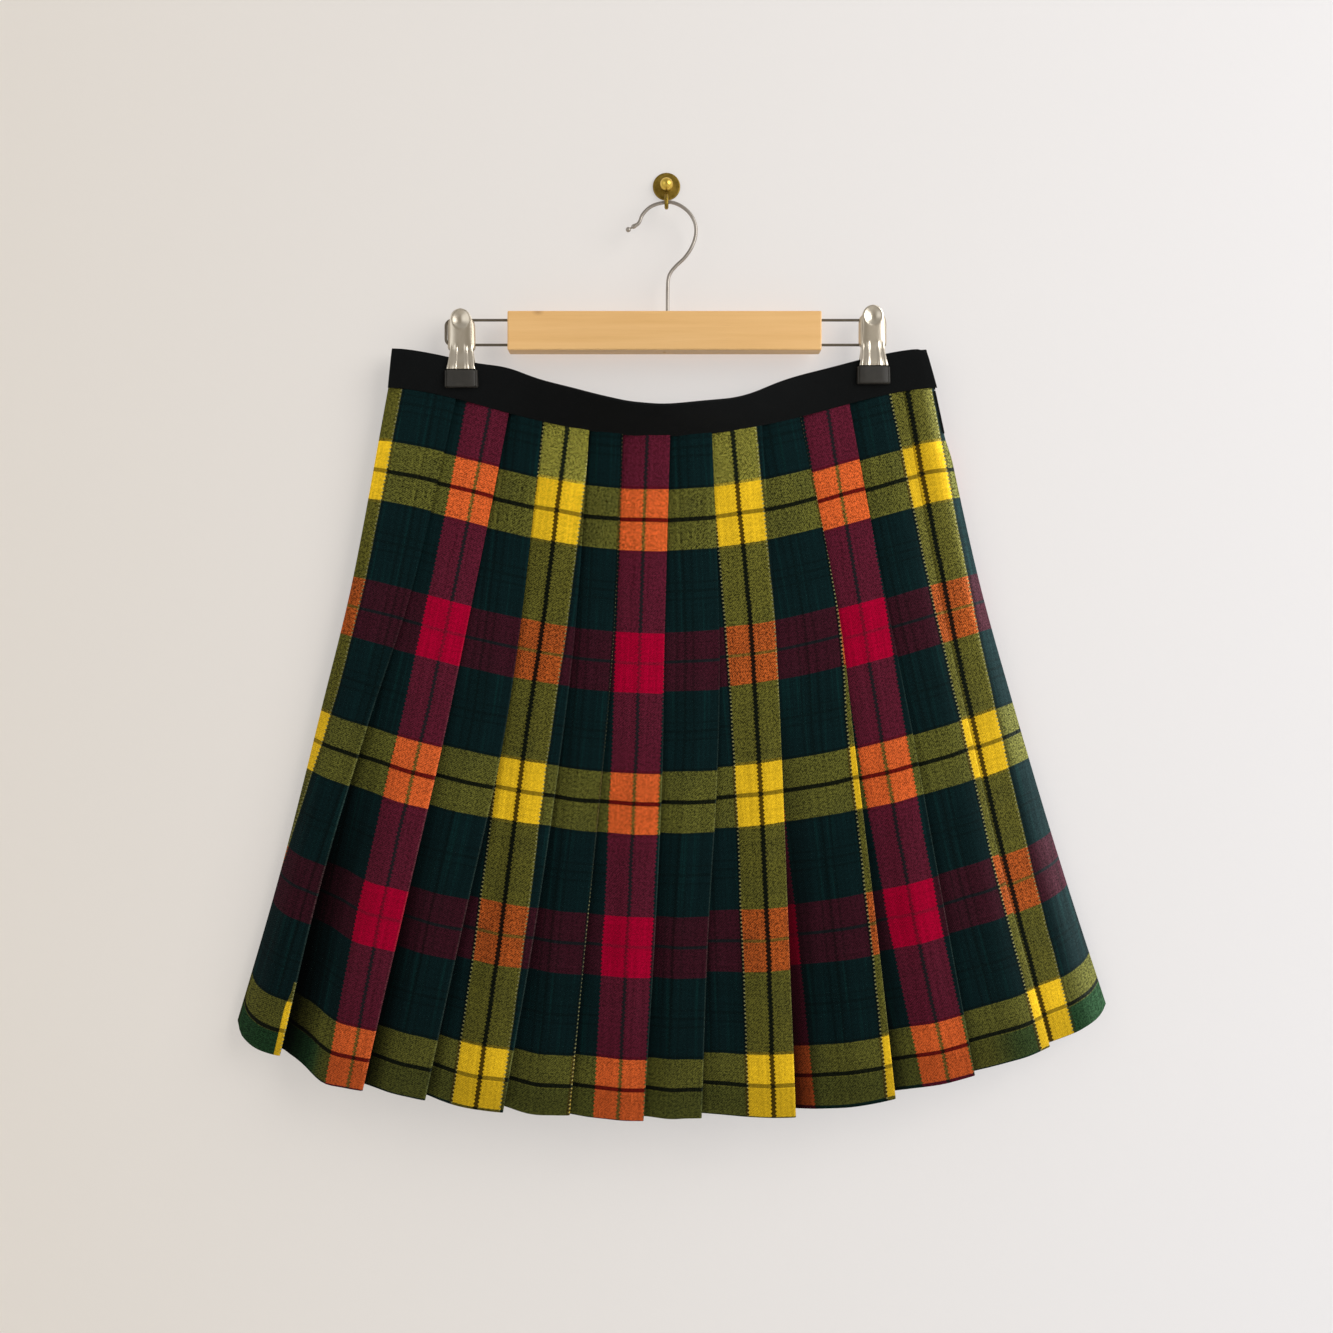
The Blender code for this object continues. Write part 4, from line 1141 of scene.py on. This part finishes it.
COLOURS = {
    "green": ("Ground of the cloth", 7, 27, 29),
    "teal": ("Lighter threads of the ground", 8, 48, 46),
    "plum_down": ("Magenta stripe over green", 82, 23, 40),
    "plum_across": ("Magenta band over green", 52, 17, 28),
    "crimson": ("Magenta over magenta", 155, 0, 42),
    "olive": ("Yellow stripe over green", 84, 82, 31),
    "olive_across": ("Yellow band over green", 84, 84, 34),
    "rust": ("Yellow stripe over magenta", 158, 76, 30),
    "orange": ("Yellow band over magenta", 204, 92, 42),
    "yellow": ("Yellow over yellow", 227, 185, 34),
    "hem_green": ("Cloth below the last line", 22, 62, 38),
    "stitch": ("Pale threads at a stripe's edge", 158, 156, 104),
    "side_light": ("Fibres in the light of the side", 122, 134, 136),
    "dark_line": ("Black threads", 3, 9, 8),
    "line_on_magenta": ("Black across the magenta", 78, 0, 10),
    "line_on_yellow": ("Black across the yellow", 132, 108, 20),
    "line_over_yellow": ("Black down the yellow", 62, 46, 6),
    # Painted highlight along the fold edges
    "worn_edge": ("Rubbed edge of a fold", 104, 122, 108),
    "band": ("Waistband", 7, 9, 10),
    "band_light": ("Lighter places of the waistband", 14, 16, 17),
    "wood_light": ("Pale wood of the bar", 244, 199, 136),
    "wood_dark": ("Darker grain of the bar", 226, 175, 106),
    "wood_pore": ("Pores of the bar", 186, 136, 78),
    "wood_knot": ("Small knot in the bar", 158, 108, 58),
    "plate": ("Satin steel of the clips", 222, 213, 197),
    "plate_dark": ("Smudges on the clips", 198, 186, 166),
    "wire": ("Dull steel of the hook", 168, 161, 153),
    "wire_dark": ("Smudges on the hook", 140, 132, 124),
    "rod": ("Dark steel of the rods", 118, 110, 98),
    "rod_dark": ("Smudges on the rods", 92, 84, 72),
    "rubber": ("Rubber of the clips", 42, 40, 36),
    "rubber_dust": ("Bloom on the rubber", 58, 55, 50),
    "brass_bright": ("Rubbed brass of the ball", 232, 198, 92),
    "brass_dull": ("Lighter patches of the plate", 160, 134, 62),
    "brass_brown": ("Aged brass of the plate", 122, 100, 38),
    "wall": ("Pale plaster", 174, 168, 161),
    "wall_glow_left": ("Light of the wall's left side", 166, 162, 157),
    "wall_glow_right": ("Light of its right side", 179, 182, 189),
    "floor": ("Pale floor", 226, 223, 217),
}


class PlaidSkirtColours(bpy.types.PropertyGroup):
    """Colours of the skirt, its hanger and its wall hook"""
    __annotations__ = {name: colour_of(name, *row) for name, row in COLOURS.items()}


def settings():
    return bpy.context.scene.plaid_skirt_sizes, bpy.context.scene.plaid_skirt_colours


def dress(piece, finish, slot, *nodes):
    """Gives a piece its finish, on the one body, in place of the named solids. The slot is not
    used.
    """
    finish.put_on(piece)
    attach(piece, "root")
    if nodes:
        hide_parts(*nodes)


class PlaidSkirtOperator(bpy.types.Operator):
    """What the building steps have in common"""
    bl_options = {"REGISTER", "UNDO"}

    def execute(self, context):
        sizes, colours = settings()
        self.build(sizes, colours)
        return {"FINISHED"}


def pleated_panel(name, side, steps, rows, billow, sizes, colours):
    """The front or the back of the skirt, which hangs from its half of the waistband."""
    cloth = PleatedCloth(side, steps, rows, sizes.cloth_thickness, billow)
    panel = cloth.build("pleated_" + name)
    dress(panel, plaid_wool("plaid wool " + name, colours, sizes), "plaid_wool", "skirt_" + name)


class PLAIDSKIRT_OT_front(PlaidSkirtOperator):
    """Builds the pleated front of the skirt"""
    bl_idname = "plaid_skirt.front"
    bl_label = "Pleated front"

    def build(self, sizes, colours):
        pleated_panel("front", FRONT, sizes.front_steps, 84, sizes.billow, sizes, colours)


class PLAIDSKIRT_OT_back(PlaidSkirtOperator):
    """Builds the pleated back of the skirt"""
    bl_idname = "plaid_skirt.back"
    bl_label = "Pleated back"

    def build(self, sizes, colours):
        pleated_panel("back", BACK, sizes.back_steps, 70, sizes.billow / 2, sizes, colours)


def band_section(lip):
    """The waistband's section, from its lower inner edge round its outside: out and up."""
    half = BAND_THICK / 2
    proud = half + BAND_PROUD
    section = [(-half, 0.0), (half + BAND_PROUD * 0.3, -lip * 0.2), (proud, -lip)]
    section += [(proud + out * 0.6, up)
                for out, up in arc(0.0, BAND_ROUND - lip, BAND_ROUND, -60, 30, 3)]
    for share in (0.2, 0.4, 0.6, 0.8):
        section.append((proud + BAND_ROUND * 0.6 - BAND_PROUD * share * 0.8
                        + 0.0003 * math.sin(math.pi * share), BAND_HEIGHT * share))
    top = BAND_HEIGHT - BAND_ROUND
    section += arc(half - BAND_ROUND, top, BAND_ROUND, 0, 22.5, 5)
    section += arc(BAND_ROUND - half, top, BAND_ROUND, 90, 22.5, 5)
    section.append((-half, BAND_HEIGHT * 0.5))
    return section


def waistband(name, side, sizes):
    """A band along the seam: between the clips the front one sags and leans out."""
    left, right = sides(0.0)
    stations = 110
    rings = []
    for station in range(stations + 1):
        share = station / stations
        x_low = mix(left, right, share)
        x_high = mix(left - BAND_END_LEFT, right - BAND_END_RIGHT, share)
        lean = BAND_LEAN * sag(x_low) if side == FRONT else 0.0
        bow = BOWS[side] * sag(x_low)
        depth = MID_PLANE_WAIST + side * (SEAM_GAP / 2 + BAND_THICK / 2 + bow)
        base = cloth_height(x_low, 0.0, side) + SEAM_GAP + BAND_THICK / 2 * math.sin(lean)
        end = min(1.0, min(share, 1 - share) * stations / 2.0)
        wave = sum(high * math.exp(-((x_low - at) / wide) ** 2) for at, wide, high in BAND_WAVES)
        wave -= BAND_CORNER * clamp((share - 0.972) / 0.028) ** 2.5
        ring = []
        for out, up in band_section(sizes.band_lip):
            soft = 0.00035 * noise.noise(Vector((x_low * 60, up * 90, side)))
            out = side * (out * mix(0.55, 1.0, end) + soft * end)
            x = mix(x_low, x_high, up / BAND_HEIGHT)
            if side == FRONT:
                up += wave * up / BAND_HEIGHT
            ring.append(place(x, depth + out * math.cos(lean) + up * math.sin(lean),
                              base - out * math.sin(lean) + up * math.cos(lean)))
        rings.append(ring)
    return lofted(name, rings, 60)


def side_tape(name):
    """The tape that stands out of the side opening, folded round its edge."""
    section = []
    for inset, turns in ((0.0, 1), (TAPE_WALL, -1)):
        out, up = TAPE_WIDTH - inset - TAPE_BEND, TAPE_DEPTH / 2 - inset
        line = [(0.0, -up), *arc(out, TAPE_BEND - up, TAPE_BEND, -90, 30, 4),
                *arc(out, up - TAPE_BEND, TAPE_BEND, 0, 30, 4), (0.0, up)]
        section += line[::turns]
    rings = []
    rows = 24
    for row in range(rows + 1):
        share = mix(TAPE_FROM, TAPE_TO, row / rows)
        right = sides(share)[1]
        inner = right - TAPE_NOTCH * 1.45
        middle = mix(MID_PLANE_WAIST, MID_PLANE_HEM, ease(share))
        z = cloth_height(right, share, FRONT)
        rings.append([place(inner + out, middle + up, z) for out, up in section])
    return lofted(name, rings, 60)


class PLAIDSKIRT_OT_waistband(PlaidSkirtOperator):
    """Builds the black waistband, front and back, and the tape of the side opening"""
    bl_idname = "plaid_skirt.waistband"
    bl_label = "Waistband"

    def build(self, sizes, colours):
        finish = black_cloth("black waistband cloth", colours)
        for name, side in (("waistband_front", FRONT), ("waistband_back", BACK)):
            band = waistband(name + "_cloth", side, sizes)
            dress(band, finish, "black_cloth", name)
        tape = side_tape("side_tape_cloth")
        dress(tape, finish, "black_cloth", "side_tape")


class PLAIDSKIRT_OT_hanger(PlaidSkirtOperator):
    """Finishes the wooden bar and builds its hook and its two bent rods"""
    bl_idname = "plaid_skirt.hanger"
    bl_label = "Hanger"

    def build(self, sizes, colours):
        pale_wood("pale wood", colours).put_on(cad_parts["hanger_bar"])
        dark = steel_finish("dark steel rod", colours.rod, colours.rod_dark, 0.42)
        for name, side, reach in (("left", -1, ROD_END_LEFT), ("right", 1, ROD_END_RIGHT)):
            dress(self.rod("hanger_rod_" + name, side, reach), dark, "steel", "bar_rod_" + name)
        dull = steel_finish("dull steel wire", colours.wire, colours.wire_dark, 0.36)
        dress(self.hook(), dull, "steel", "hanger_hook")

    @staticmethod
    def rod(name, side, reach):
        """One rod bent like a hairpin, with both legs in the end of the bar."""
        inside = BAR_MIDDLE_X + side * (BAR_LENGTH / 2 - ROD_IN_BAR)
        bends = (arc(0.0, ROD_UPPER_Z - ROD_CORNER, ROD_CORNER, 90, -11.25, 9)
                 + arc(0.0, ROD_LOWER_Z + ROD_CORNER, ROD_CORNER, 0, -11.25, 9))
        turn_x = reach - side * ROD_CORNER
        line = [(inside, ROD_UPPER_Z), *((turn_x + side * x, z) for x, z in bends),
                (inside, ROD_LOWER_Z)]
        points = [place(x, HANGER_DEPTH, z) for x, z in line]
        return tube(name, points, [ROD_RADIUS] * len(points), 16)

    @staticmethod
    def hook():
        """Bent wire hook with a small ball and collar on its tip."""
        route = smooth_curve([place(x, HANGER_DEPTH, z) for x, z in HOOK_ROUTE], 8)
        route.append(place(HOOK_ROUTE[-1][0], HANGER_DEPTH, BAR_BOTTOM_OF_HOOK))
        along = (route[1] - route[0]).normalized()
        tip = arc(0.0, -WIRE_TIP_RADIUS, WIRE_TIP_RADIUS, -85, 10, 16)
        tip += [(WIRE_RADIUS * share, run) for run, share in WIRE_COLLAR]
        rest = [point for point in route if (point - route[0]).length > 0.0050]
        points = [route[0] + along * run for _, run in tip] + rest
        radii = [radius for radius, _ in tip] + [WIRE_RADIUS] * len(rest)
        return tube("hanger_wire_hook", points, radii, 16)


def clip_lean(z, lift):
    """How far a leaning clip's foot stands to the right of its top."""
    return CLIP_LEAN * clamp((CLIP_TOP_Z - z) / (CLIP_TOP_Z - CLIP_PAD_END_Z)) if lift < 0 else 0.0


def jaw_half(z, top):
    """Half the width of a jaw: a round top, a straight neck and a foot that flares."""
    radius = TONGUE_WIDTH / 2
    if z > top - radius:
        return math.sqrt(max(0.0, radius ** 2 - (z - top + radius) ** 2))
    spread = clamp((top - 0.0180 - z) / (CLIP_TOP_Z - CLIP_JAW_END_Z - 0.0180))
    return radius + spread ** 0.8 * 0.0013 + spread ** 3.5 * (JAW_END_WIDTH / 2 - radius - 0.0013)


def clip_jaw(name, middle_x, lift, side):
    """A steel jaw with a dished round top, a flat below it and pressed ribs down to its end."""
    top = CLIP_TOP_Z + lift
    end = CLIP_JAW_END_Z + lift
    bend_z = JAW_BEND_Z + lift
    radius = TONGUE_WIDTH / 2
    heights = [top - radius * (1 - math.cos(math.radians(turn))) for turn in range(6, 91, 6)]
    heights += [mix(heights[-1], end, step / 44) for step in range(1, 45)]
    columns = 64
    outer, inner = [], []
    for z in heights:
        half = jaw_half(z, top)
        middle = middle_x + clip_lean(z, lift)
        inside = mix(JAW_UPPER_INSIDE, JAW_LOWER_INSIDE, ease((bend_z - z) / (bend_z - end)))
        ribbed = ease((RIBS_FROM_Z + lift - z) / 0.0040)
        turned_in = ease((top - 0.006 - z) / 0.01)
        outer_row, inner_row = [], []
        for column in range(columns + 1):
            c = 2 * column / columns - 1
            face = clamp(abs(c) / JAW_WRAP)
            wrap = clamp((abs(c) - JAW_WRAP) / (1 - JAW_WRAP))
            x = half * math.copysign(face ** 0.97, c)
            out = inside + JAW_THICK + 0.0005 * (1 - face ** 4)
            for at, wide, high in JAW_RIBS:
                out += ribbed * high * max(0.0, 1 - ((face - at) / wide) ** 2) ** 1.5
            dish = math.hypot(x, (z - top + radius * 1.02) * 0.92) / DISH_RADIUS
            out -= DISH_DEPTH * max(0.0, 1 - dish * dish) ** 1.3
            out -= mix(0.0009, 0.0022, turned_in) * wrap ** 1.5
            outer_row.append(place(middle + x, HANGER_DEPTH + side * out, z))
            inner_row.append(place(middle + x - math.copysign(JAW_PLATE * wrap, c),
                                   HANGER_DEPTH + side * (out - JAW_PLATE + 0.0004 * wrap), z))
        outer.append(outer_row)
        inner.append(inner_row)
    rings = [front + back[::-1] for front, back in zip(outer, inner)]
    return lofted(name, rings, 35)


def clip_ears(name, middle_x, lift):
    """The bent side plates by which a clip's jaws turn on the rods."""
    bulge = arc(0.0, 0.0, 1.0, -78, 12, 14)
    points, faces = [], []
    for side in (-1, 1):
        rings = []
        for step in range(19):
            share = step / 18
            z = mix(EAR_TOP_Z, EAR_END_Z, share) + lift
            end = clamp(min(share * 1.6, (1 - share) * 3.2) * 2.2)
            width = (EAR_REACH - EAR_ROOT) * mix(0.35, 1.0, math.sqrt(1 - (1 - end) ** 2))
            middle = middle_x + clip_lean(z, lift)
            line = [(width * out, EAR_DEPTH * deep) for out, deep in bulge]
            line += [((width - EAR_WALL) * out, (EAR_DEPTH - 0.0005) * deep)
                     for out, deep in bulge[::-1]]
            rings.append([place(middle + side * (EAR_ROOT + x), HANGER_DEPTH + depth, z)
                          for x, depth in line])
        count = len(rings[0])
        faces += ring_faces(rings, len(points))
        for first in (len(points), len(points) + (len(rings) - 1) * count):
            faces += [(first + index, first + index + 1, first + count - 2 - index,
                       first + count - 1 - index) for index in range(count // 2 - 1)]
        points += [point for ring in rings for point in ring]
    return smooth_object(new_mesh(name, points, faces), 40)


def clip_pad(name, middle_x, lift, side):
    """Rubber end of a jaw: a block with lips at its sides and ridges where it presses."""
    top = CLIP_JAW_END_Z + lift - SEAM_GAP
    bottom = CLIP_PAD_END_Z + lift
    rings = []
    rows = 30
    for row in range(rows + 1):
        share = row / rows
        z = mix(top, bottom, share)
        middle = middle_x + clip_lean(z, lift)
        end = min(share, 1 - share) * (top - bottom) / 0.0011
        pull = 0.0009 * (1 - math.sqrt(1 - (1 - min(1.0, end)) ** 2))
        half = PAD_WIDTH / 2 - pull - 0.0003 * (1 - share)
        inside = PAD_INSIDE + pull * 0.4 + 0.00030 * (0.5 - 0.5 * math.cos(share * 14 * math.pi))
        outside = PAD_INSIDE + PAD_DEPTH * mix(0.90, 1.0, ease(share * 1.2)) - pull
        lip = half - PAD_LIP
        section = [(half, inside + 0.0006), (half + 0.0002, mix(inside, outside, 0.4)),
                   (half, outside - 0.0016), (half - 0.0004, outside - 0.0009),
                   (lip + 0.0003, outside - 0.0007), (lip + 0.0001, outside - 0.0009),
                   (lip - 0.0001, outside - 0.0004), (lip - 0.0008, outside),
                   (lip * 0.5, outside + 0.0001)]
        ring = section + [(-x, out) for x, out in section[::-1]]
        ring += [(0.0006 - half, inside), (0.0, inside), (half - 0.0006, inside)]
        rings.append([place(middle + x, HANGER_DEPTH + side * out, z) for x, out in ring])
    return lofted(name, rings, 40)


class PLAIDSKIRT_OT_clips(PlaidSkirtOperator):
    """Builds the two clips: jaws, side plates and rubber ends"""
    bl_idname = "plaid_skirt.clips"
    bl_label = "Clips"

    def build(self, sizes, colours):
        steel = steel_finish("plated steel", colours.plate, colours.plate_dark, 0.26)
        side_steel = steel_finish("side steel", colours.plate_dark, colours.wire, 0.40)
        rubber = dark_rubber("clip rubber", colours)
        for name, middle_x, lift in CLIP_PLACES:
            for face, side in (("front", FRONT), ("back", BACK)):
                part = f"clip_{name}_{face}"
                dress(clip_jaw(part + "_plate", middle_x, lift, side), steel,
                      "steel", part + "_jaw")
                dress(clip_pad(part + "_rubber", middle_x, lift, side), rubber,
                      "rubber", part + "_pad")
            dress(clip_ears(f"clip_{name}_ears", middle_x, lift), side_steel, "steel")
            steel.put_on(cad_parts[f"clip_{name}_spring"])


class PLAIDSKIRT_OT_wall_hook(PlaidSkirtOperator):
    """Builds the brass wall hook: turned plate and ball, and the bent prong"""
    bl_idname = "plaid_skirt.wall_hook"
    bl_label = "Wall hook"

    def build(self, sizes, colours):
        brass = aged_brass("aged brass", colours)
        dress(self.knob(), brass, "brass", "knob_plate")
        dress(self.prong(), brass, "brass", "knob_prong")

    @staticmethod
    def knob():
        """The round plate with a ball on a short neck, in one turned piece."""
        profile = [(PLATE_RADIUS - 0.0003, 0.0), (PLATE_RADIUS, 0.0003)]
        profile += arc(PLATE_RADIUS - PLATE_RIM, PLATE_THICK * 0.55, PLATE_RIM, 0, 18, 6)
        for share in (0.15, 0.3, 0.5, 0.7, 0.85):
            profile.append((mix(PLATE_RADIUS - PLATE_RIM * 1.6, NECK_RADIUS * 1.2, share),
                            PLATE_THICK * 0.86 + 0.0003 * ease(share)))
        start = math.degrees(math.asin(NECK_RADIUS / BALL_RADIUS)) - 90
        profile += arc(0.0, BALL_DEPTH, BALL_RADIUS, start, (88.28 - start) / 21, 22)
        return turned("wall_knob", profile, 48)

    @staticmethod
    def prong():
        """The prong, which goes down in front of the plate, round the wire and up again."""
        wire_z = max(z for _, z in HOOK_ROUTE) - 0.0004
        reach = WIRE_RADIUS + PRONG_CLEAR + PRONG_RADIUS
        line = [*PRONG_LINE, *arc(HANGER_DEPTH, wire_z, reach, 200, 35, 5),
                (HANGER_DEPTH + reach, PRONG_TIP_Z)]
        points = smooth_curve([place(0.0, depth, z) for depth, z in line], 6)
        shares = [1.0] * (len(points) - 3) + [0.93, 0.75, 0.40]
        radii = [PRONG_RADIUS * share for share in shares]
        return tube("wall_prong", points, radii, 16, up=Vector((1, 0, 0)))


def plane(name, corners):
    made = linked(name, new_mesh(name, corners, [(0, 1, 2, 3)]))
    return made


def soft_light(name, at, size, watts, colour=(1.0, 1.0, 1.0)):
    """A large square lamp that looks at the middle of the skirt."""
    lamp = bpy.data.lights.new(name, "AREA")
    lamp.size = size
    lamp.energy = watts
    lamp.color = colour
    made = linked(name, lamp)
    made.location = at
    made.rotation_euler = (LIT_MIDDLE - Vector(at)).to_track_quat("-Z", "Y").to_euler()


class PLAIDSKIRT_OT_stage(PlaidSkirtOperator):
    """Sets the pale wall and floor, the soft light and the camera"""
    bl_idname = "plaid_skirt.stage"
    bl_label = "Stage"

    def build(self, sizes, colours):
        scene = bpy.context.scene
        wall = plane("wall", [(-4, 0, -1.6), (4, 0, -1.6), (4, 0, 2.4), (-4, 0, 2.4)])
        plain_wall("pale plaster", colours).put_on(wall)
        wall.visible_shadow = False
        floor = plane("floor", [(-4, -4, -1.6), (4, -4, -1.6), (4, 4, -1.6), (-4, 4, -1.6)])
        plain_surface("pale floor", colours.floor, 0.97, 1.5, 2.0, Roughness=0.9).put_on(floor)
        soft_light("key", (1.80, -1.55, 0.55), 1.8, 45.0, (1.0, 0.995, 0.99))
        soft_light("fill", (-1.7, -1.9, 0.1), 2.0, 10.0, (0.98, 0.99, 1.0))
        soft_light("behind_right", (1.1, 1.6, 0.5), 1.4, 26.0)
        soft_light("behind_left", (-1.3, 1.6, 0.1), 1.8, 18.0)
        self.surroundings(scene)
        lens = bpy.data.cameras.new("photo_camera")
        lens.lens = 37.9
        lens.sensor_width = 36.0
        scene.camera = linked("photo_camera", lens)
        scene.camera.location = (0.0, -0.950, -0.3212)
        scene.camera.rotation_euler = (math.radians(90), 0.0, 0.0)
        scene.view_settings.view_transform = "Standard"

    @staticmethod
    def surroundings(scene):
        """A pale room that is darker behind the camera, and plain pale where it is seen."""
        scene.world = scene.world or bpy.data.worlds.new("surroundings")
        scene.world.use_nodes = True
        room = Nodes(scene.world.node_tree)
        towards = room.node("ShaderNodeTexCoord").outputs["Generated"]
        facing = room.node("ShaderNodeVectorMath", {"operation": "DOT_PRODUCT"},
                           {0: towards, 1: (0.10, -0.95, 0.28)}).outputs["Value"]
        spread = room.node("ShaderNodeMapRange", None,
                           {"From Min": 0.80, "From Max": 0.97, "Value": facing}).outputs[0]
        light = room.mix(from_screen(244, 240, 234), from_screen(184, 172, 152), spread)
        seen = room.node("ShaderNodeLightPath").outputs["Is Camera Ray"]
        background = room.tree.nodes["Background"]
        room.feed(background.inputs[0], room.mix(light, (1.73, 1.69, 1.63), seen))
        room.feed(background.inputs[1], 0.46)


STEPS = (PLAIDSKIRT_OT_front, PLAIDSKIRT_OT_back, PLAIDSKIRT_OT_waistband,
         PLAIDSKIRT_OT_hanger, PLAIDSKIRT_OT_clips, PLAIDSKIRT_OT_wall_hook,
         PLAIDSKIRT_OT_stage)


class PLAIDSKIRT_PT_panel(bpy.types.Panel):
    """Lists the building steps of the plaid skirt"""
    bl_idname = "PLAIDSKIRT_PT_panel"
    bl_label = "Plaid skirt"
    bl_space_type = "VIEW_3D"
    bl_region_type = "UI"
    bl_category = "Plaid skirt"

    def draw(self, context):
        for step in STEPS:
            self.layout.operator(step.bl_idname)
        for group in (context.scene.plaid_skirt_sizes, context.scene.plaid_skirt_colours):
            for name in group.bl_rna.properties.keys():
                if name not in ("rna_type", "name"):
                    self.layout.prop(group, name)


CLASSES = (PlaidSkirtSizes, PlaidSkirtColours, *STEPS, PLAIDSKIRT_PT_panel)


def register():
    for made in CLASSES:
        bpy.utils.register_class(made)
    bpy.types.Scene.plaid_skirt_sizes = PointerProperty(type=PlaidSkirtSizes)
    bpy.types.Scene.plaid_skirt_colours = PointerProperty(type=PlaidSkirtColours)


def unregister():
    del bpy.types.Scene.plaid_skirt_colours
    del bpy.types.Scene.plaid_skirt_sizes
    for made in reversed(CLASSES):
        bpy.utils.unregister_class(made)


def main():
    register()
    for step in STEPS:
        group, name = step.bl_idname.split(".")
        getattr(getattr(bpy.ops, group), name)()


if __name__ == "__main__":
    main()
